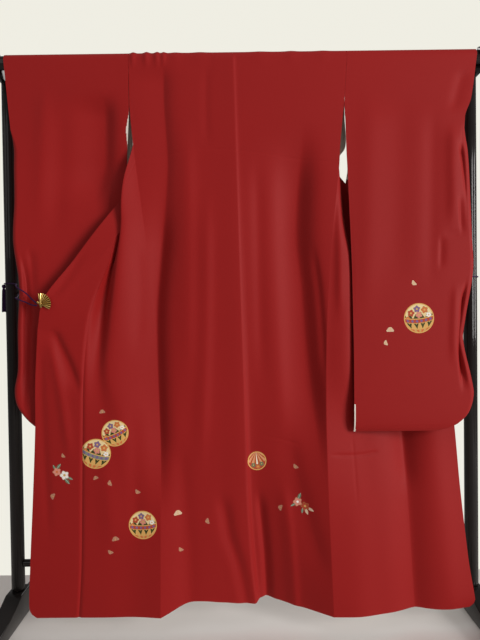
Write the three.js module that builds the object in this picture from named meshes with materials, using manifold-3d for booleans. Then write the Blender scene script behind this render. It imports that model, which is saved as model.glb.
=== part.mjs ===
// A furisode hung over a lacquered kimono stand and spread to show its back.
// Millimetres, +Z up. X runs along the rod, and -Y is the side from which the back is seen.
// Left and right are the wearer's, and also those of someone who looks at the back.
import Module from 'manifold-3d';
import * as THREE from 'three';
import { mergeVertices } from 'three/addons/utils/BufferGeometryUtils.js';

// ---------------------------------------------------------------- driving dimensions

const rod = { height: 1650, radius: 18, halfLength: 760, sides: 24 };
const post = { x: 700, y: 80, radius: 19, aboveRod: 16, sides: 20 };
const foot = { width: 50, halfLength: 240, endHeight: 30, postHeight: 78, shoulder: 32, run: 60 };
const rail = { radius: 11, height: 160, sides: 12 };
const bracket = { width: 26, wall: 9, drop: 60, clearance: 0.3 };
const fan = { radius: 34, pleats: 12, notch: 2.2, from: -25, to: 95, thick: 2.5, handle: 9, jawLength: 22,
  jawHeight: 10, hinge: 5, open: 5.8 };
const cord = { diameter: 3.5, steps: 60 };
const tassel = { radius: 7, length: 84, head: 6 };
const cloth = { wall: 2, collarWall: 3, seam: 0.3, overRod: 1 };
const hem = 70;
const neckDrop = 38;
const neckHalf = 95;
const collarWidth = 55;
const napeLean = 5;
const napeNarrowing = 0.72;

const overRodRadius = rod.radius + cloth.overRod + cloth.wall / 2;
const neckHeight = rod.height - neckDrop;

// Back body, height by height: where its two side edges and its centre seam run
const backLines = [
  { z: 1650, left: -312, centre: -21, right: 308 },
  { z: 1522, left: -311, centre: -18, right: 299 },
  { z: 1405, left: -309, centre: -16, right: 291 },
  { z: 1328, left: -295, centre: -14, right: 286 },
  { z: 1133, left: -272, centre: -8, right: 260 },
  { z: 964, left: -262, centre: -4, right: 247 },
  { z: 821, left: -249, centre: -1, right: 241 },
  { z: 606, left: -241, centre: 2, right: 239 },
  { z: 391, left: -238, centre: 5, right: 241 },
  { z: 202, left: -240, centre: 15, right: 247 },
  { z: 70, left: -242, centre: 28, right: 251 },
];

// Back body's hem in plan
const backHem = [
  { at: 'left side seam', x: -242, y: -35 },
  { at: 'left hollow', x: -160, y: 28 },
  { at: 'left of centre', x: -60, y: 24 },
  { at: 'centre seam', x: 28, y: 16 },
  { at: 'centre pleat', x: 46, y: 56 },
  { at: 'right of centre', x: 80, y: 49 },
  { at: 'right swell', x: 158, y: -2 },
  { at: 'right side seam', x: 251, y: -45 },
];
const hemReach = 1.8; // how quickly the hem's waves die away upwards

// Large soft folds of the back body, each a hollow in its near face
const backFolds = [
  { name: 'left tuck', xTop: -210, xLow: -200, top: 1640, low: 1330, depth: 8, width: 14 },
  { name: 'left valley', xTop: -180, xLow: -232, top: 1350, low: 260, depth: 14, width: 26 },
  { name: 'right valley', xTop: 168, xLow: 232, top: 1520, low: 420, depth: 13, width: 30 },
];

// Left front, row by row down the cloth, each row a line across it. Its side edge hangs from the
// sleeve (hangs = height), is free at the side opening (side), then joins the back (joins = height).
// turn = where it rounds the side, dip = where its fullness bags back, inner = its overlap seam,
// collar = the share of the collar's length that the row meets
const frontLeft = [
  { hangs: 1612, turn: [-240, 20, 1612], dip: [-168, 20, 1612], collar: 0 },
  { hangs: 1500, turn: [-250, 16, 1478], dip: [-182, 0, 1470], collar: 0.12 },
  { hangs: 1400, turn: [-262, 6, 1360], dip: [-196, -4, 1340], collar: 0.25 },
  { hangs: 1342, turn: [-284, -2, 1290], dip: [-232, -4, 1250], collar: 0.35 },
  { side: [-310, 2, 1362], turn: [-304, -18, 1280], dip: [-258, -6, 1205], collar: 0.44 },
  { joins: 1405, turn: [-318, -32, 1276], dip: [-284, 0, 1165], collar: 0.53 },
  { joins: 1230, turn: [-316, -28, 1190], dip: [-318, 2, 1136], collar: 0.625 },
  { joins: 1133, turn: [-316, -23, 1108], dip: [-346, 0, 1078], inner: [-378, -33, 1060], collar: 0.76 },
  { joins: 964, turn: [-322, -24, 960], dip: [-374, -8, 956], inner: [-416, -44, 962], collar: 0.89 },
  { joins: 890, turn: [-320, -26, 890], dip: [-380, -16, 888], inner: [-434, -46, 888], collar: 1 },
  { joins: 750, turn: [-316, -29, 750], dip: [-384, -28, 750], inner: [-449, -44, 750] },
  { joins: 606, turn: [-312, -30, 606], dip: [-384, -34, 606], inner: [-455, -40, 606] },
  { joins: 390, turn: [-312, -27, 391], dip: [-388, -34, 391], inner: [-461, -30, 391] },
  { joins: 190, turn: [-318, -27, 202], dip: [-396, -24, 202], inner: [-468, -18, 202] },
  { joins: 70, turn: [-322, -26, 70], dip: [-400, -14, 70], inner: [-479, -6, 70] },
];

// Right front, the same lines: it passes behind the sleeve and comes forward below it
const frontRight = [
  { hangs: 1612, turn: [237, 20, 1612], dip: [166, 20, 1612], collar: 0 },
  { hangs: 1500, turn: [248, 16, 1478], dip: [182, 0, 1470], collar: 0.12 },
  { hangs: 1400, turn: [262, 6, 1360], dip: [196, -4, 1340], collar: 0.25 },
  { hangs: 1342, turn: [280, 6, 1284], dip: [236, 2, 1240], collar: 0.35 },
  { side: [300, 0, 1338], turn: [291, 8, 1262], dip: [264, 14, 1198], collar: 0.44 },
  { joins: 1328, turn: [294, 4, 1225], dip: [294, 26, 1160], collar: 0.53 },
  { joins: 1200, turn: [300, 10, 1150], dip: [326, 30, 1108], collar: 0.625 },
  { joins: 1120, turn: [296, 8, 1090], dip: [345, 38, 1050], inner: [400, 36, 1055], collar: 0.76 },
  { joins: 964, turn: [300, 2, 950], dip: [360, 28, 950], inner: [430, 32, 962], collar: 0.89 },
  { joins: 890, turn: [302, 0, 885], dip: [366, 24, 885], inner: [448, 30, 888], collar: 1 },
  { joins: 750, turn: [306, 0, 750], dip: [378, 18, 750], inner: [462, 22, 750] },
  { joins: 606, turn: [314, 3, 606], dip: [390, 12, 606], inner: [471, 16, 606] },
  { joins: 390, turn: [316, -28, 391], dip: [396, -14, 391], inner: [478, -8, 391] },
  { joins: 190, turn: [320, -40, 202], dip: [402, -30, 202], inner: [486, -16, 202] },
  { joins: 70, turn: [324, -47, 70], dip: [408, -32, 70], inner: [494, -18, 70] },
];
const rowAt = { tip: 6, collarEnd: 9 }; // rows where the overlap begins and where the collar ends

// Free edge of each overlap, from the end of the collar to the rounded corner of the hem
const edgeLeft = [
  { z: 888, x: -569, y: -57 },
  { z: 738, x: -581, y: -48 },
  { z: 606, x: -587, y: -40 },
  { z: 400, x: -611, y: -26 },
  { z: 202, x: -634, y: -12 },
  { z: 110, x: -637, y: -6 },
  { z: 84, x: -632, y: -5 },
  { z: 70, x: -612, y: -4 },
];
const edgeRight = [
  { z: 888, x: 585, y: 37 },
  { z: 738, x: 606, y: 30 },
  { z: 606, x: 621, y: 22 },
  { z: 400, x: 633, y: 10 },
  { z: 202, x: 652, y: 4 },
  { z: 110, x: 668, y: 6 },
  { z: 84, x: 670, y: 7 },
  { z: 70, x: 655, y: 7 },
];

// Taut outer edge of the collar, from the neck past the clip to the collar's end. turn is how the
// band lies about that edge, in degrees: 180 as on the neck, 0 as on the spread front
const collarLeft = [
  { x: -62, y: 30, z: 1572, turn: 180 },
  { x: -118, y: 60, z: 1530, turn: 265 },
  { x: -200, y: 48, z: 1447, turn: 330 },
  { x: -272, y: 24, z: 1347, turn: 352 },
  { x: -335, y: -5, z: 1262, turn: 360 },
  { x: -395, y: -31, z: 1180, turn: 360 },
  { x: -470, y: -46, z: 1077, turn: 360 },
  { x: -551, y: -61, z: 966, turn: 360 },
  { x: -569, y: -57, z: 888, turn: 360 },
];
const collarRight = [
  { x: 62, y: 30, z: 1572, turn: 180 },
  { x: 118, y: 60, z: 1530, turn: 265 },
  { x: 200, y: 48, z: 1447, turn: 330 },
  { x: 272, y: 32, z: 1349, turn: 352 },
  { x: 345, y: 38, z: 1262, turn: 360 },
  { x: 405, y: 36, z: 1180, turn: 360 },
  { x: 480, y: 36, z: 1082, turn: 360 },
  { x: 565, y: 38, z: 972, turn: 360 },
  { x: 585, y: 37, z: 888, turn: 360 },
];

// Sleeves, height by height: inner edge (towards the body) and outer edge, and how far back the near
// and the far layer lie at each of them
const sleeveLeft = [
  { z: 1650, inner: -312, outer: -667, nearIn: -20, nearOut: -20, farIn: 20, farOut: 20 },
  { z: 1522, inner: -311, outer: -654, nearIn: -20, nearOut: -25, farIn: 21, farOut: 12 },
  { z: 1400, inner: -312, outer: -643, nearIn: -8, nearOut: -28, farIn: 25, farOut: 2 },
  { z: 1342, inner: -312, outer: -643, nearIn: 5, nearOut: -29, farIn: 25, farOut: -2 },
  { z: 1250, inner: -314, outer: -643, nearIn: 12, nearOut: -30, farIn: 27, farOut: -4 },
  { z: 1138, inner: -316, outer: -648, nearIn: 12, nearOut: -32, farIn: 26, farOut: -6 },
  { z: 1011, inner: -320, outer: -633, nearIn: 7, nearOut: -33, farIn: 20, farOut: -8 },
  { z: 883, inner: -322, outer: -639, nearIn: 1, nearOut: -33, farIn: 12, farOut: -9 },
  { z: 768, inner: -322, outer: -641, nearIn: -6, nearOut: -32, farIn: 6, farOut: -10 },
  { z: 711, inner: -322, outer: -651, nearIn: -9, nearOut: -32, farIn: 1, farOut: -10 },
  { z: 670, inner: -322, outer: -646, nearIn: -12, nearOut: -32, farIn: 0, farOut: -10 },
  { z: 634, inner: -322, outer: -624, nearIn: -14, nearOut: -31, farIn: 0, farOut: -11 },
  { z: 607, inner: -322, outer: -596, nearIn: -14, nearOut: -29, farIn: -1, farOut: -13 },
  { z: 590, inner: -322, outer: -566, nearIn: -12, nearOut: -25, farIn: -4, farOut: -17 },
  { z: 580, inner: -322, outer: -536, nearIn: -9, nearOut: -21, farIn: -9, farOut: -21 },
];
const sleeveRight = [
  { z: 1650, inner: 308, outer: 677, nearIn: -20, nearOut: -20, farIn: 20, farOut: 20 },
  { z: 1522, inner: 299, outer: 657, nearIn: -20, nearOut: -24, farIn: 21, farOut: 9 },
  { z: 1468, inner: 300, outer: 632, nearIn: -25, nearOut: -27, farIn: 23, farOut: 3 },
  { z: 1381, inner: 302, outer: 645, nearIn: -27, nearOut: -28, farIn: 25, farOut: -2 },
  { z: 1330, inner: 304, outer: 649, nearIn: -28, nearOut: -29, farIn: 24, farOut: -4 },
  { z: 1220, inner: 308, outer: 655, nearIn: -29, nearOut: -30, farIn: 12, farOut: -5 },
  { z: 1138, inner: 311, outer: 659, nearIn: -30, nearOut: -30, farIn: 4, farOut: -5 },
  { z: 1038, inner: 314, outer: 662, nearIn: -30, nearOut: -30, farIn: -1, farOut: -5 },
  { z: 895, inner: 316, outer: 638, nearIn: -30, nearOut: -31, farIn: -4, farOut: -6 },
  { z: 838, inner: 317, outer: 632, nearIn: -30, nearOut: -31, farIn: -5, farOut: -6 },
  { z: 723, inner: 317, outer: 656, nearIn: -30, nearOut: -31, farIn: -6, farOut: -7 },
  { z: 680, inner: 317, outer: 661, nearIn: -30, nearOut: -31, farIn: -6, farOut: -8 },
  { z: 630, inner: 317, outer: 646, nearIn: -30, nearOut: -30, farIn: -7, farOut: -9 },
  { z: 600, inner: 317, outer: 616, nearIn: -28, nearOut: -28, farIn: -9, farOut: -12 },
  { z: 587, inner: 317, outer: 590, nearIn: -24, nearOut: -24, farIn: -13, farOut: -15 },
  { z: 579, inner: 317, outer: 556, nearIn: -19, nearOut: -20, farIn: -19, farOut: -20 },
];
const mouthEnd = { left: 1455, right: 1468 };

// Clips at the hinge of the fan, and each cord from its clip round the post and back to the clip
const clipAt = { left: [-556, -64, 956], right: [571, 35.2, 962] };
const cordRoute = {
  left: [
    [-567, -65, 957], [-584, -56, 969], [-608, -42, 988], [-630, -38, 1001], [-642, -26, 1009],
    [-650, 0, 1014], [-668, 30, 1018], [-688, 52, 1020], [-702, 58, 1021], [-714, 63, 1021],
    [-721, 73, 1021], [-721.5, 86, 1020], [-714, 97, 1019], [-701, 102, 1017], [-688, 98.5, 1014],
    [-680, 89, 1009], [-677, 76, 1003], [-672, 56, 997], [-660, 24, 989], [-648, -8, 982],
    [-641, -30, 977], [-628, -39, 970], [-606, -45, 961], [-584, -56, 953], [-567, -65, 951],
  ],
  right: [
    [581.5, 34, 965], [592, 33, 973], [608, 36, 984], [632, 43, 1001], [660, 50, 1015],
    [684, 54, 1022], [702, 58, 1024], [714, 63, 1024], [721, 73, 1024], [721.5, 86, 1023],
    [714, 97, 1022], [701, 102, 1020], [688, 98.5, 1018], [680, 89, 1015], [676, 76, 1011],
    [664, 60, 1006], [648, 50, 997], [622, 41, 982], [598, 34, 966], [581.5, 34, 958],
  ],
};
const tasselAt = { left: [-726.3, 80, 1019.4], right: [701, 106.7, 1018.9] };

// ---------------------------------------------------------------- helpers

const quarter = Math.PI / 2;

const lerp = THREE.MathUtils.lerp;
const steps = (count) => Array.from({ length: count + 1 }, (_, i) => i / count);
const at = (x, y, z) => new THREE.Vector3(x, y, z);

// Smooth interpolation of one named column of a table whose rows are ordered by another column
function column(table, input, output) {
  const xs = table.map((row) => row[input]);
  const ys = table.map((row) => row[output]);
  const last = xs.length - 1;
  const slope = (i) => {
    const before = Math.max(i - 1, 0);
    const after = Math.min(i + 1, last);
    return (ys[after] - ys[before]) / (xs[after] - xs[before]);
  };
  return (x) => {
    const rising = xs[last] > xs[0];
    let i = 0;
    while (i < last - 1 && (rising ? x > xs[i + 1] : x < xs[i + 1])) i += 1;
    const span = xs[i + 1] - xs[i];
    const t = THREE.MathUtils.clamp((x - xs[i]) / span, 0, 1);
    const bend = t * t * (3 - 2 * t);
    const leave = t * (1 - t) ** 2 * span * slope(i);
    const arrive = t * t * (1 - t) * span * slope(i + 1);
    return ys[i] + (ys[i + 1] - ys[i]) * bend + leave - arrive;
  };
}

// A curve through points, read at a share of the way along its list
function lineThrough(points) {
  const curve = new THREE.CatmullRomCurve3(points, false, 'centripetal');
  return (share) => curve.getPoint(THREE.MathUtils.clamp(share, 0, 1));
}

const keyOf = (p) => `${p.x.toFixed(3)} ${p.y.toFixed(3)} ${p.z.toFixed(3)}`;

// The points and triangles of some grids. Points that coincide are one point, so grids join where
// they share a row, and a null point leaves a hole.
function weave(grids) {
  const points = [];
  const index = new Map();
  const indexOf = (p) => {
    const key = keyOf(p);
    if (!index.has(key)) {
      index.set(key, points.length);
      points.push(p);
    }
    return index.get(key);
  };
  const triangles = [];
  const addTriangle = (...corners) => {
    if (corners.some((p) => p === null)) return;
    const [a, b, c] = corners.map(indexOf);
    if (a !== b && b !== c && c !== a) triangles.push([a, b, c]);
  };
  for (const grid of grids) {
    for (let r = 1; r < grid.length; r += 1) {
      for (let c = 1; c < grid[r].length; c += 1) {
        addTriangle(grid[r - 1][c - 1], grid[r][c - 1], grid[r][c]);
        addTriangle(grid[r - 1][c - 1], grid[r][c], grid[r - 1][c]);
      }
    }
  }
  const normals = points.map(() => at(0, 0, 0));
  for (const corners of triangles) {
    const [a, b, c] = corners.map((i) => points[i]);
    const normal = b.clone().sub(a).cross(c.clone().sub(a));
    corners.forEach((i) => normals[i].add(normal));
  }
  return { points, index, triangles, normals };
}

const outOfBack = at(0.3, -1, 0.2);

// A closed wall of cloth about the middle surface that some grids describe. Where a piece that it is
// sewn to has the same points, both walls lean alike there and stand apart by the seam's gap.
function clothWall(grids, wall, sewnTo = []) {
  const { points, index, triangles, normals } = weave(grids);
  const own = normals.map((normal) => normal.clone());
  const onSeam = new Set();
  for (const neighbour of sewnTo.map(weave)) {
    const shared = [...neighbour.index].filter(([key]) => index.has(key))
      .map(([key, i]) => [index.get(key), i]);
    const agreement = shared
      .reduce((sum, [mine, theirs]) => sum + own[mine].dot(neighbour.normals[theirs]), 0);
    for (const [mine, theirs] of shared) {
      normals[mine].addScaledVector(neighbour.normals[theirs], Math.sign(agreement));
      onSeam.add(mine);
    }
  }
  normals.forEach((normal) => normal.normalize());

  const inward = points.map(() => at(0, 0, 0));
  for (const corners of triangles) {
    const middle = at(0, 0, 0);
    corners.forEach((i) => middle.addScaledVector(points[i], 1 / 3));
    corners.forEach((i) => inward[i].add(middle.clone().sub(points[i])));
  }
  const placed = points.map((p, i) => {
    if (!onSeam.has(i)) return p;
    return p.clone().add(inward[i].projectOnPlane(normals[i]).setLength(cloth.seam));
  });

  const edges = new Set(triangles.flatMap(([a, b, c]) => [`${a} ${b}`, `${b} ${c}`, `${c} ${a}`]));
  const rim = [...edges].map((edge) => edge.split(' ').map(Number))
    .filter(([a, b]) => !edges.has(`${b} ${a}`));
  const count = points.length;
  // Both sides of a seam split their rim the same way, from the same point's nearer face
  const rimFaces = (a, b) => {
    const [first, other] = keyOf(points[a]) < keyOf(points[b]) ? [a, b] : [b, a];
    const nearer = normals[first].dot(outOfBack) > 0 ? first : other;
    return nearer === b
      ? [[b, a, a + count], [b, a + count, b + count]]
      : [[b, a, b + count], [a, a + count, b + count]];
  };
  const faces = [
    ...triangles,
    ...triangles.map(([a, b, c]) => [a + count, c + count, b + count]),
    ...rim.flatMap(([a, b]) => rimFaces(a, b)),
  ];
  const layerAt = (out) => placed.map((p, i) => p.clone().addScaledVector(normals[i], out));
  const places = [...layerAt(wall / 2), ...layerAt(-wall / 2)].flatMap((p) => p.toArray());
  const geometry = new THREE.BufferGeometry();
  geometry.setAttribute('position', new THREE.Float32BufferAttribute(places, 3));
  geometry.setIndex(faces.flat());
  geometry.computeVertexNormals();
  return geometry;
}

// A round cord along a curve
function cordAlong(points, diameter, stepsAlong) {
  const section = new THREE.Shape();
  section.absarc(0, 0, diameter / 2, 0, 2 * Math.PI);
  const path = new THREE.CatmullRomCurve3(points, false, 'centripetal');
  return new THREE.ExtrudeGeometry(section, {
    extrudePath: path, steps: stepsAlong, curveSegments: 4, bevelEnabled: false,
  });
}

const wasm = await Module();
wasm.setup();

// Several overlapping closed shapes as one solid
function joined(geometries) {
  const solids = geometries.map((geometry) => {
    const bare = geometry.clone();
    bare.deleteAttribute('normal');
    bare.deleteAttribute('uv');
    const merged = mergeVertices(bare);
    return new wasm.Manifold(new wasm.Mesh({
      numProp: 3,
      vertProperties: new Float32Array(merged.attributes.position.array),
      triVerts: new Uint32Array(merged.index.array),
    }));
  });
  const mesh = solids.reduce((whole, solid) => whole.add(solid)).getMesh();
  const geometry = new THREE.BufferGeometry();
  geometry.setAttribute('position', new THREE.BufferAttribute(mesh.vertProperties, 3));
  geometry.setIndex(new THREE.BufferAttribute(mesh.triVerts, 1));
  geometry.computeVertexNormals();
  return geometry;
}

// A tassel that hangs from the origin: a round head, a waist and a flared skirt
function tasselShape() {
  const profile = [
    [0, 0], [tassel.head * 0.7, -1], [tassel.head, -tassel.head], [tassel.head * 0.7, -2 * tassel.head],
    [tassel.radius * 0.9, -3.4 * tassel.head], [tassel.radius, -tassel.length], [0, -tassel.length],
  ];
  const lathe = new THREE.LatheGeometry(profile.map(([r, z]) => new THREE.Vector2(r, z)).reverse(), 12);
  lathe.rotateX(quarter);
  return lathe;
}

const materials = {
  silk: { color: 0x8a2321, roughness: 0.75, metalness: 0 },
  lacquer: { color: 0x14110f, roughness: 0.18, metalness: 0 },
  gold: { color: 0xc9a04a, roughness: 0.35, metalness: 0.9 },
  braid: { color: 0x37204f, roughness: 0.8, metalness: 0 },
};
const furisode = new THREE.Group();

function addPart(name, geometry, finish) {
  const part = new THREE.Mesh(geometry, new THREE.MeshStandardMaterial(materials[finish]));
  part.name = name;
  furisode.add(part);
  return part;
}

// ---------------------------------------------------------------- back and front bodies

const hemDepth = column(backHem, 'x', 'y');
const lineAt = {
  left: column(backLines, 'z', 'left'),
  centre: column(backLines, 'z', 'centre'),
  right: column(backLines, 'z', 'right'),
};

function foldDepth(folds, x, z) {
  return folds.reduce((sum, fold) => {
    const down = (fold.top - z) / (fold.top - fold.low);
    if (down <= 0 || down >= 1) return sum;
    const across = (x - lerp(fold.xTop, fold.xLow, down)) / fold.width;
    return sum + fold.depth * Math.sin(Math.PI * down) * Math.exp(-across * across);
  }, 0);
}

// Near face of the back at a height, share = 0 at the side edge and 1 at the centre seam
function backPoint(side, share, z) {
  const x = lerp(lineAt[side](z), lineAt.centre(z), share);
  const hemX = lerp(lineAt[side](hem), lineAt.centre(hem), share);
  const drop = (rod.height - z) / (rod.height - hem);
  const wave = (hemDepth(hemX) + overRodRadius) * drop ** hemReach;
  return at(x, -overRodRadius + wave + foldDepth(backFolds, x, z), z);
}

function overRod(x, share) {
  const angle = Math.PI * share;
  return at(x, -overRodRadius * Math.cos(angle), rod.height + overRodRadius * Math.sin(angle));
}

const bodyColumns = { toNeck: 8, neckToCentre: 3 };
const backHeights = [70, 84, 110, 145, 190, 250, 320, 390, 460, 530, 606, 680, 750, 821, 890, 964, 1040,
  1120, 1200, 1265, 1290, 1328, 1405, 1465, 1522, 1560, 1600, 1650];
const rodTurns = steps(6);
const handOf = { left: -1, right: 1 };
const sleeveOf = { left: sleeveLeft, right: sleeveRight };

// Inner edge of a sleeve, which is also the edge of the body along the sleeve seam
const seamEnd = 1522;
const sleeveInner = {
  left: column(sleeveLeft, 'z', 'inner'),
  right: column(sleeveRight, 'z', 'inner'),
};
const innerEdge = (side, z) => (z >= seamEnd ? lineAt[side](z) : sleeveInner[side](z));
const farSeamEnd = 1342;
const farBlend = 80;
const farSeamGap = 1.1;
function farInnerEdge(side, z) {
  const below = THREE.MathUtils.clamp((farSeamEnd - z) / farBlend, 0, 1);
  return lerp(lineAt[side](rod.height), innerEdge(side, z), z >= farSeamEnd ? 0 : below);
}

function bodyShares(side) {
  const edge = lineAt[side](rod.height);
  const neck = (handOf[side] * neckHalf - edge) / (lineAt.centre(rod.height) - edge);
  const outer = steps(bodyColumns.toNeck).map((share) => share * neck);
  const inner = steps(bodyColumns.neckToCentre).map((share) => lerp(neck, 1, share));
  return [...outer, ...inner.slice(1)];
}

// Collar: its taut edge and its seam edge, each at a share of the way from the neck to the end
function collarLines(table, hand) {
  const edge = lineThrough(table.map((row) => at(row.x, row.y, row.z)));
  const numbered = table.map((row, i) => ({ ...row, share: i / (table.length - 1) }));
  const turn = column(numbered, 'share', 'turn');
  const seam = (share) => {
    const probe = 0.01;
    const along = edge(share + probe).sub(edge(share - probe)).normalize();
    const inFront = at(hand * along.z, 0, -hand * along.x).normalize();
    const away = along.clone().cross(inFront).multiplyScalar(hand).normalize();
    const angle = THREE.MathUtils.degToRad(turn(share));
    return edge(share)
      .addScaledVector(inFront, collarWidth * Math.cos(angle))
      .addScaledVector(away, collarWidth * Math.sin(angle));
  };
  return { edge, seam };
}
const collar = { left: collarLines(collarLeft, -1), right: collarLines(collarRight, 1) };

// A front body as lines down it, each read at a row number of its table
function frontLines(table, side) {
  const last = table.length - 1;
  const down = (points) => {
    const line = lineThrough(points);
    return (row) => line(row / last);
  };
  const numbered = table.map((row, i) => ({ ...row, i }));
  const collarShare = column(numbered.slice(0, rowAt.collarEnd + 1), 'i', 'collar');
  const corner = at(handOf[side] * neckHalf, overRodRadius, neckHeight);
  const farIn = column(sleeveOf[side], 'z', 'farIn');
  const sidePoint = (row) => {
    if (row.side) return at(...row.side);
    if (row.joins) return backPoint(side, 0, row.joins);
    const y = row.hangs === neckHeight ? overRodRadius : farIn(row.hangs);
    return at(farInnerEdge(side, row.hangs), y, row.hangs);
  };
  const collarSeam = (row) => (row === 0 ? corner : collar[side].seam(collarShare(row)));
  const innerOf = (row) => (row.inner ? at(...row.inner) : collar[side].seam(row.collar));
  const overlapLine = down(table.map(innerOf));
  return {
    table, collarShare, collarSeam,
    side: down(table.map(sidePoint)),
    turn: down(table.map((row) => at(...row.turn))),
    dip: down(table.map((row) => at(...row.dip))),
    inner: (row) => (row <= rowAt.tip ? collarSeam(row) : overlapLine(row)),
  };
}
const front = { left: frontLines(frontLeft, 'left'), right: frontLines(frontRight, 'right') };

// Row numbers at which the fronts, overlaps and collar are cut: even steps down the hung part, then
// the heights of the back's rows, so that both sides of the side seam share their points
function frontRows(side) {
  const { table } = front[side];
  const firstJoined = table.findIndex((row) => row.joins);
  const joined = table.map((row, i) => ({ i, z: row.joins })).slice(firstJoined);
  const rowOf = column(joined, 'z', 'i');
  const hung = steps(firstJoined * 2).slice(0, -1).map((share) => ({ row: share * firstJoined }));
  const sewn = backHeights.filter((z) => z <= table[firstJoined].joins).reverse();
  return [...hung, ...sewn.map((z) => ({ z, row: joined.find((entry) => entry.z === z)?.i ?? rowOf(z) }))];
}
const rowsOf = { left: frontRows('left'), right: frontRows('right') };

function bodyGrids(side) {
  const shares = bodyShares(side);
  const edge = lineAt[side](rod.height);
  const acrossTop = (share) => lerp(edge, lineAt.centre(rod.height), share);
  const back = backHeights.map((z) => shares.map((share) => backPoint(side, share, z)));
  const top = rodTurns.slice(1).map((turn) => shares.map((share) => overRod(acrossTop(share), turn)));
  const neckRow = shares.map((share) => at(acrossTop(share), overRodRadius, neckHeight));
  const lines = front[side];
  const fronts = rowsOf[side].slice(1).map(({ row, z }) => {
    const sideEdge = z ? backPoint(side, 0, z) : lines.side(row);
    const across = lineThrough([sideEdge, lines.turn(row), lines.dip(row), lines.inner(row)]);
    const cut = steps(bodyColumns.toNeck).map(across);
    return [sideEdge, ...cut.slice(1, -1), lines.inner(row)];
  });
  return [[...back, ...top, neckRow], [neckRow.slice(0, bodyColumns.toNeck + 1), ...fronts]];
}

// ---------------------------------------------------------------- overlaps

const overlapColumns = { toCollar: 3, toEdge: 3 };

function overlapGrids(side, edgeTable) {
  const lines = front[side];
  const edge = { x: column(edgeTable, 'z', 'x'), y: column(edgeTable, 'z', 'y') };
  const across = (from, to, count) => steps(count).map((share) => from.clone().lerp(to, share));
  const rows = rowsOf[side].filter(({ row }) => row >= rowAt.tip);
  const beside = rows.filter(({ row }) => row <= rowAt.collarEnd)
    .map(({ row }) => across(lines.inner(row), lines.collarSeam(row), overlapColumns.toCollar));
  const junction = beside[beside.length - 1];
  const collarCorner = junction[overlapColumns.toCollar];
  const end = collar[side].edge(1);
  const toCollar = junction[0].distanceTo(collarCorner);
  const split = toCollar / (toCollar + collarCorner.distanceTo(end));
  const below = rows.filter(({ row }) => row > rowAt.collarEnd).map(({ row, z }) => {
    const seam = lines.inner(row);
    const free = at(edge.x(z), edge.y(z), z);
    const fold = seam.clone().lerp(free, split);
    const outer = across(fold, free, overlapColumns.toEdge).slice(1);
    return [...across(seam, fold, overlapColumns.toCollar), ...outer];
  });
  const first = [...junction, ...across(collarCorner, end, overlapColumns.toEdge).slice(1)];
  return [beside, [first, ...below]];
}

// ---------------------------------------------------------------- collar

function collarGrid() {
  const halfRows = (side) => rowsOf[side].filter(({ row }) => row > 0 && row <= rowAt.collarEnd)
    .map(({ row }) => [front[side].collarSeam(row), collar[side].edge(front[side].collarShare(row))]);
  const napeSeam = (side) => {
    const edge = lineAt[side](rod.height);
    const middle = lineAt.centre(rod.height);
    return bodyShares(side).slice(bodyColumns.toNeck).map((share) => lerp(edge, middle, share));
  };
  const xs = [...napeSeam('left'), ...napeSeam('right').reverse().slice(1)];
  const nape = xs.map((x) => [
    at(x, overRodRadius, neckHeight),
    at(x * napeNarrowing, overRodRadius + napeLean, neckHeight - collarWidth),
  ]);
  return [[...halfRows('left').reverse(), ...nape, ...halfRows('right')]];
}

const body = { left: bodyGrids('left'), right: bodyGrids('right') };
const overlap = { left: overlapGrids('left', edgeLeft), right: overlapGrids('right', edgeRight) };
const collarBand = collarGrid();
addPart('migoro_left', clothWall(body.left, cloth.wall, [body.right, overlap.left, collarBand]), 'silk');
addPart('migoro_right', clothWall(body.right, cloth.wall, [body.left, overlap.right, collarBand]), 'silk');
addPart('okumi_left', clothWall(overlap.left, cloth.wall, [body.left, collarBand]), 'silk');
addPart('okumi_right', clothWall(overlap.right, cloth.wall, [body.right, collarBand]), 'silk');
const besideCollar = [body.left, body.right, overlap.left, overlap.right];
addPart('eri', clothWall(collarBand, cloth.collarWall, besideCollar), 'silk');

// ---------------------------------------------------------------- sleeves

const sleeveHeights = [1650, 1600, 1560, 1522, 1462, 1400, 1342, 1262, 1180, 1100, 1020, 940, 860, 790, 720,
  680, 650, 622];
const sleeveColumns = steps(6);
const foldTurns = [0.25, 0.5, 0.75];
const bottomRows = 4; // rows of a sleeve's table that round its bottom off
const leastRow = 15;

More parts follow.
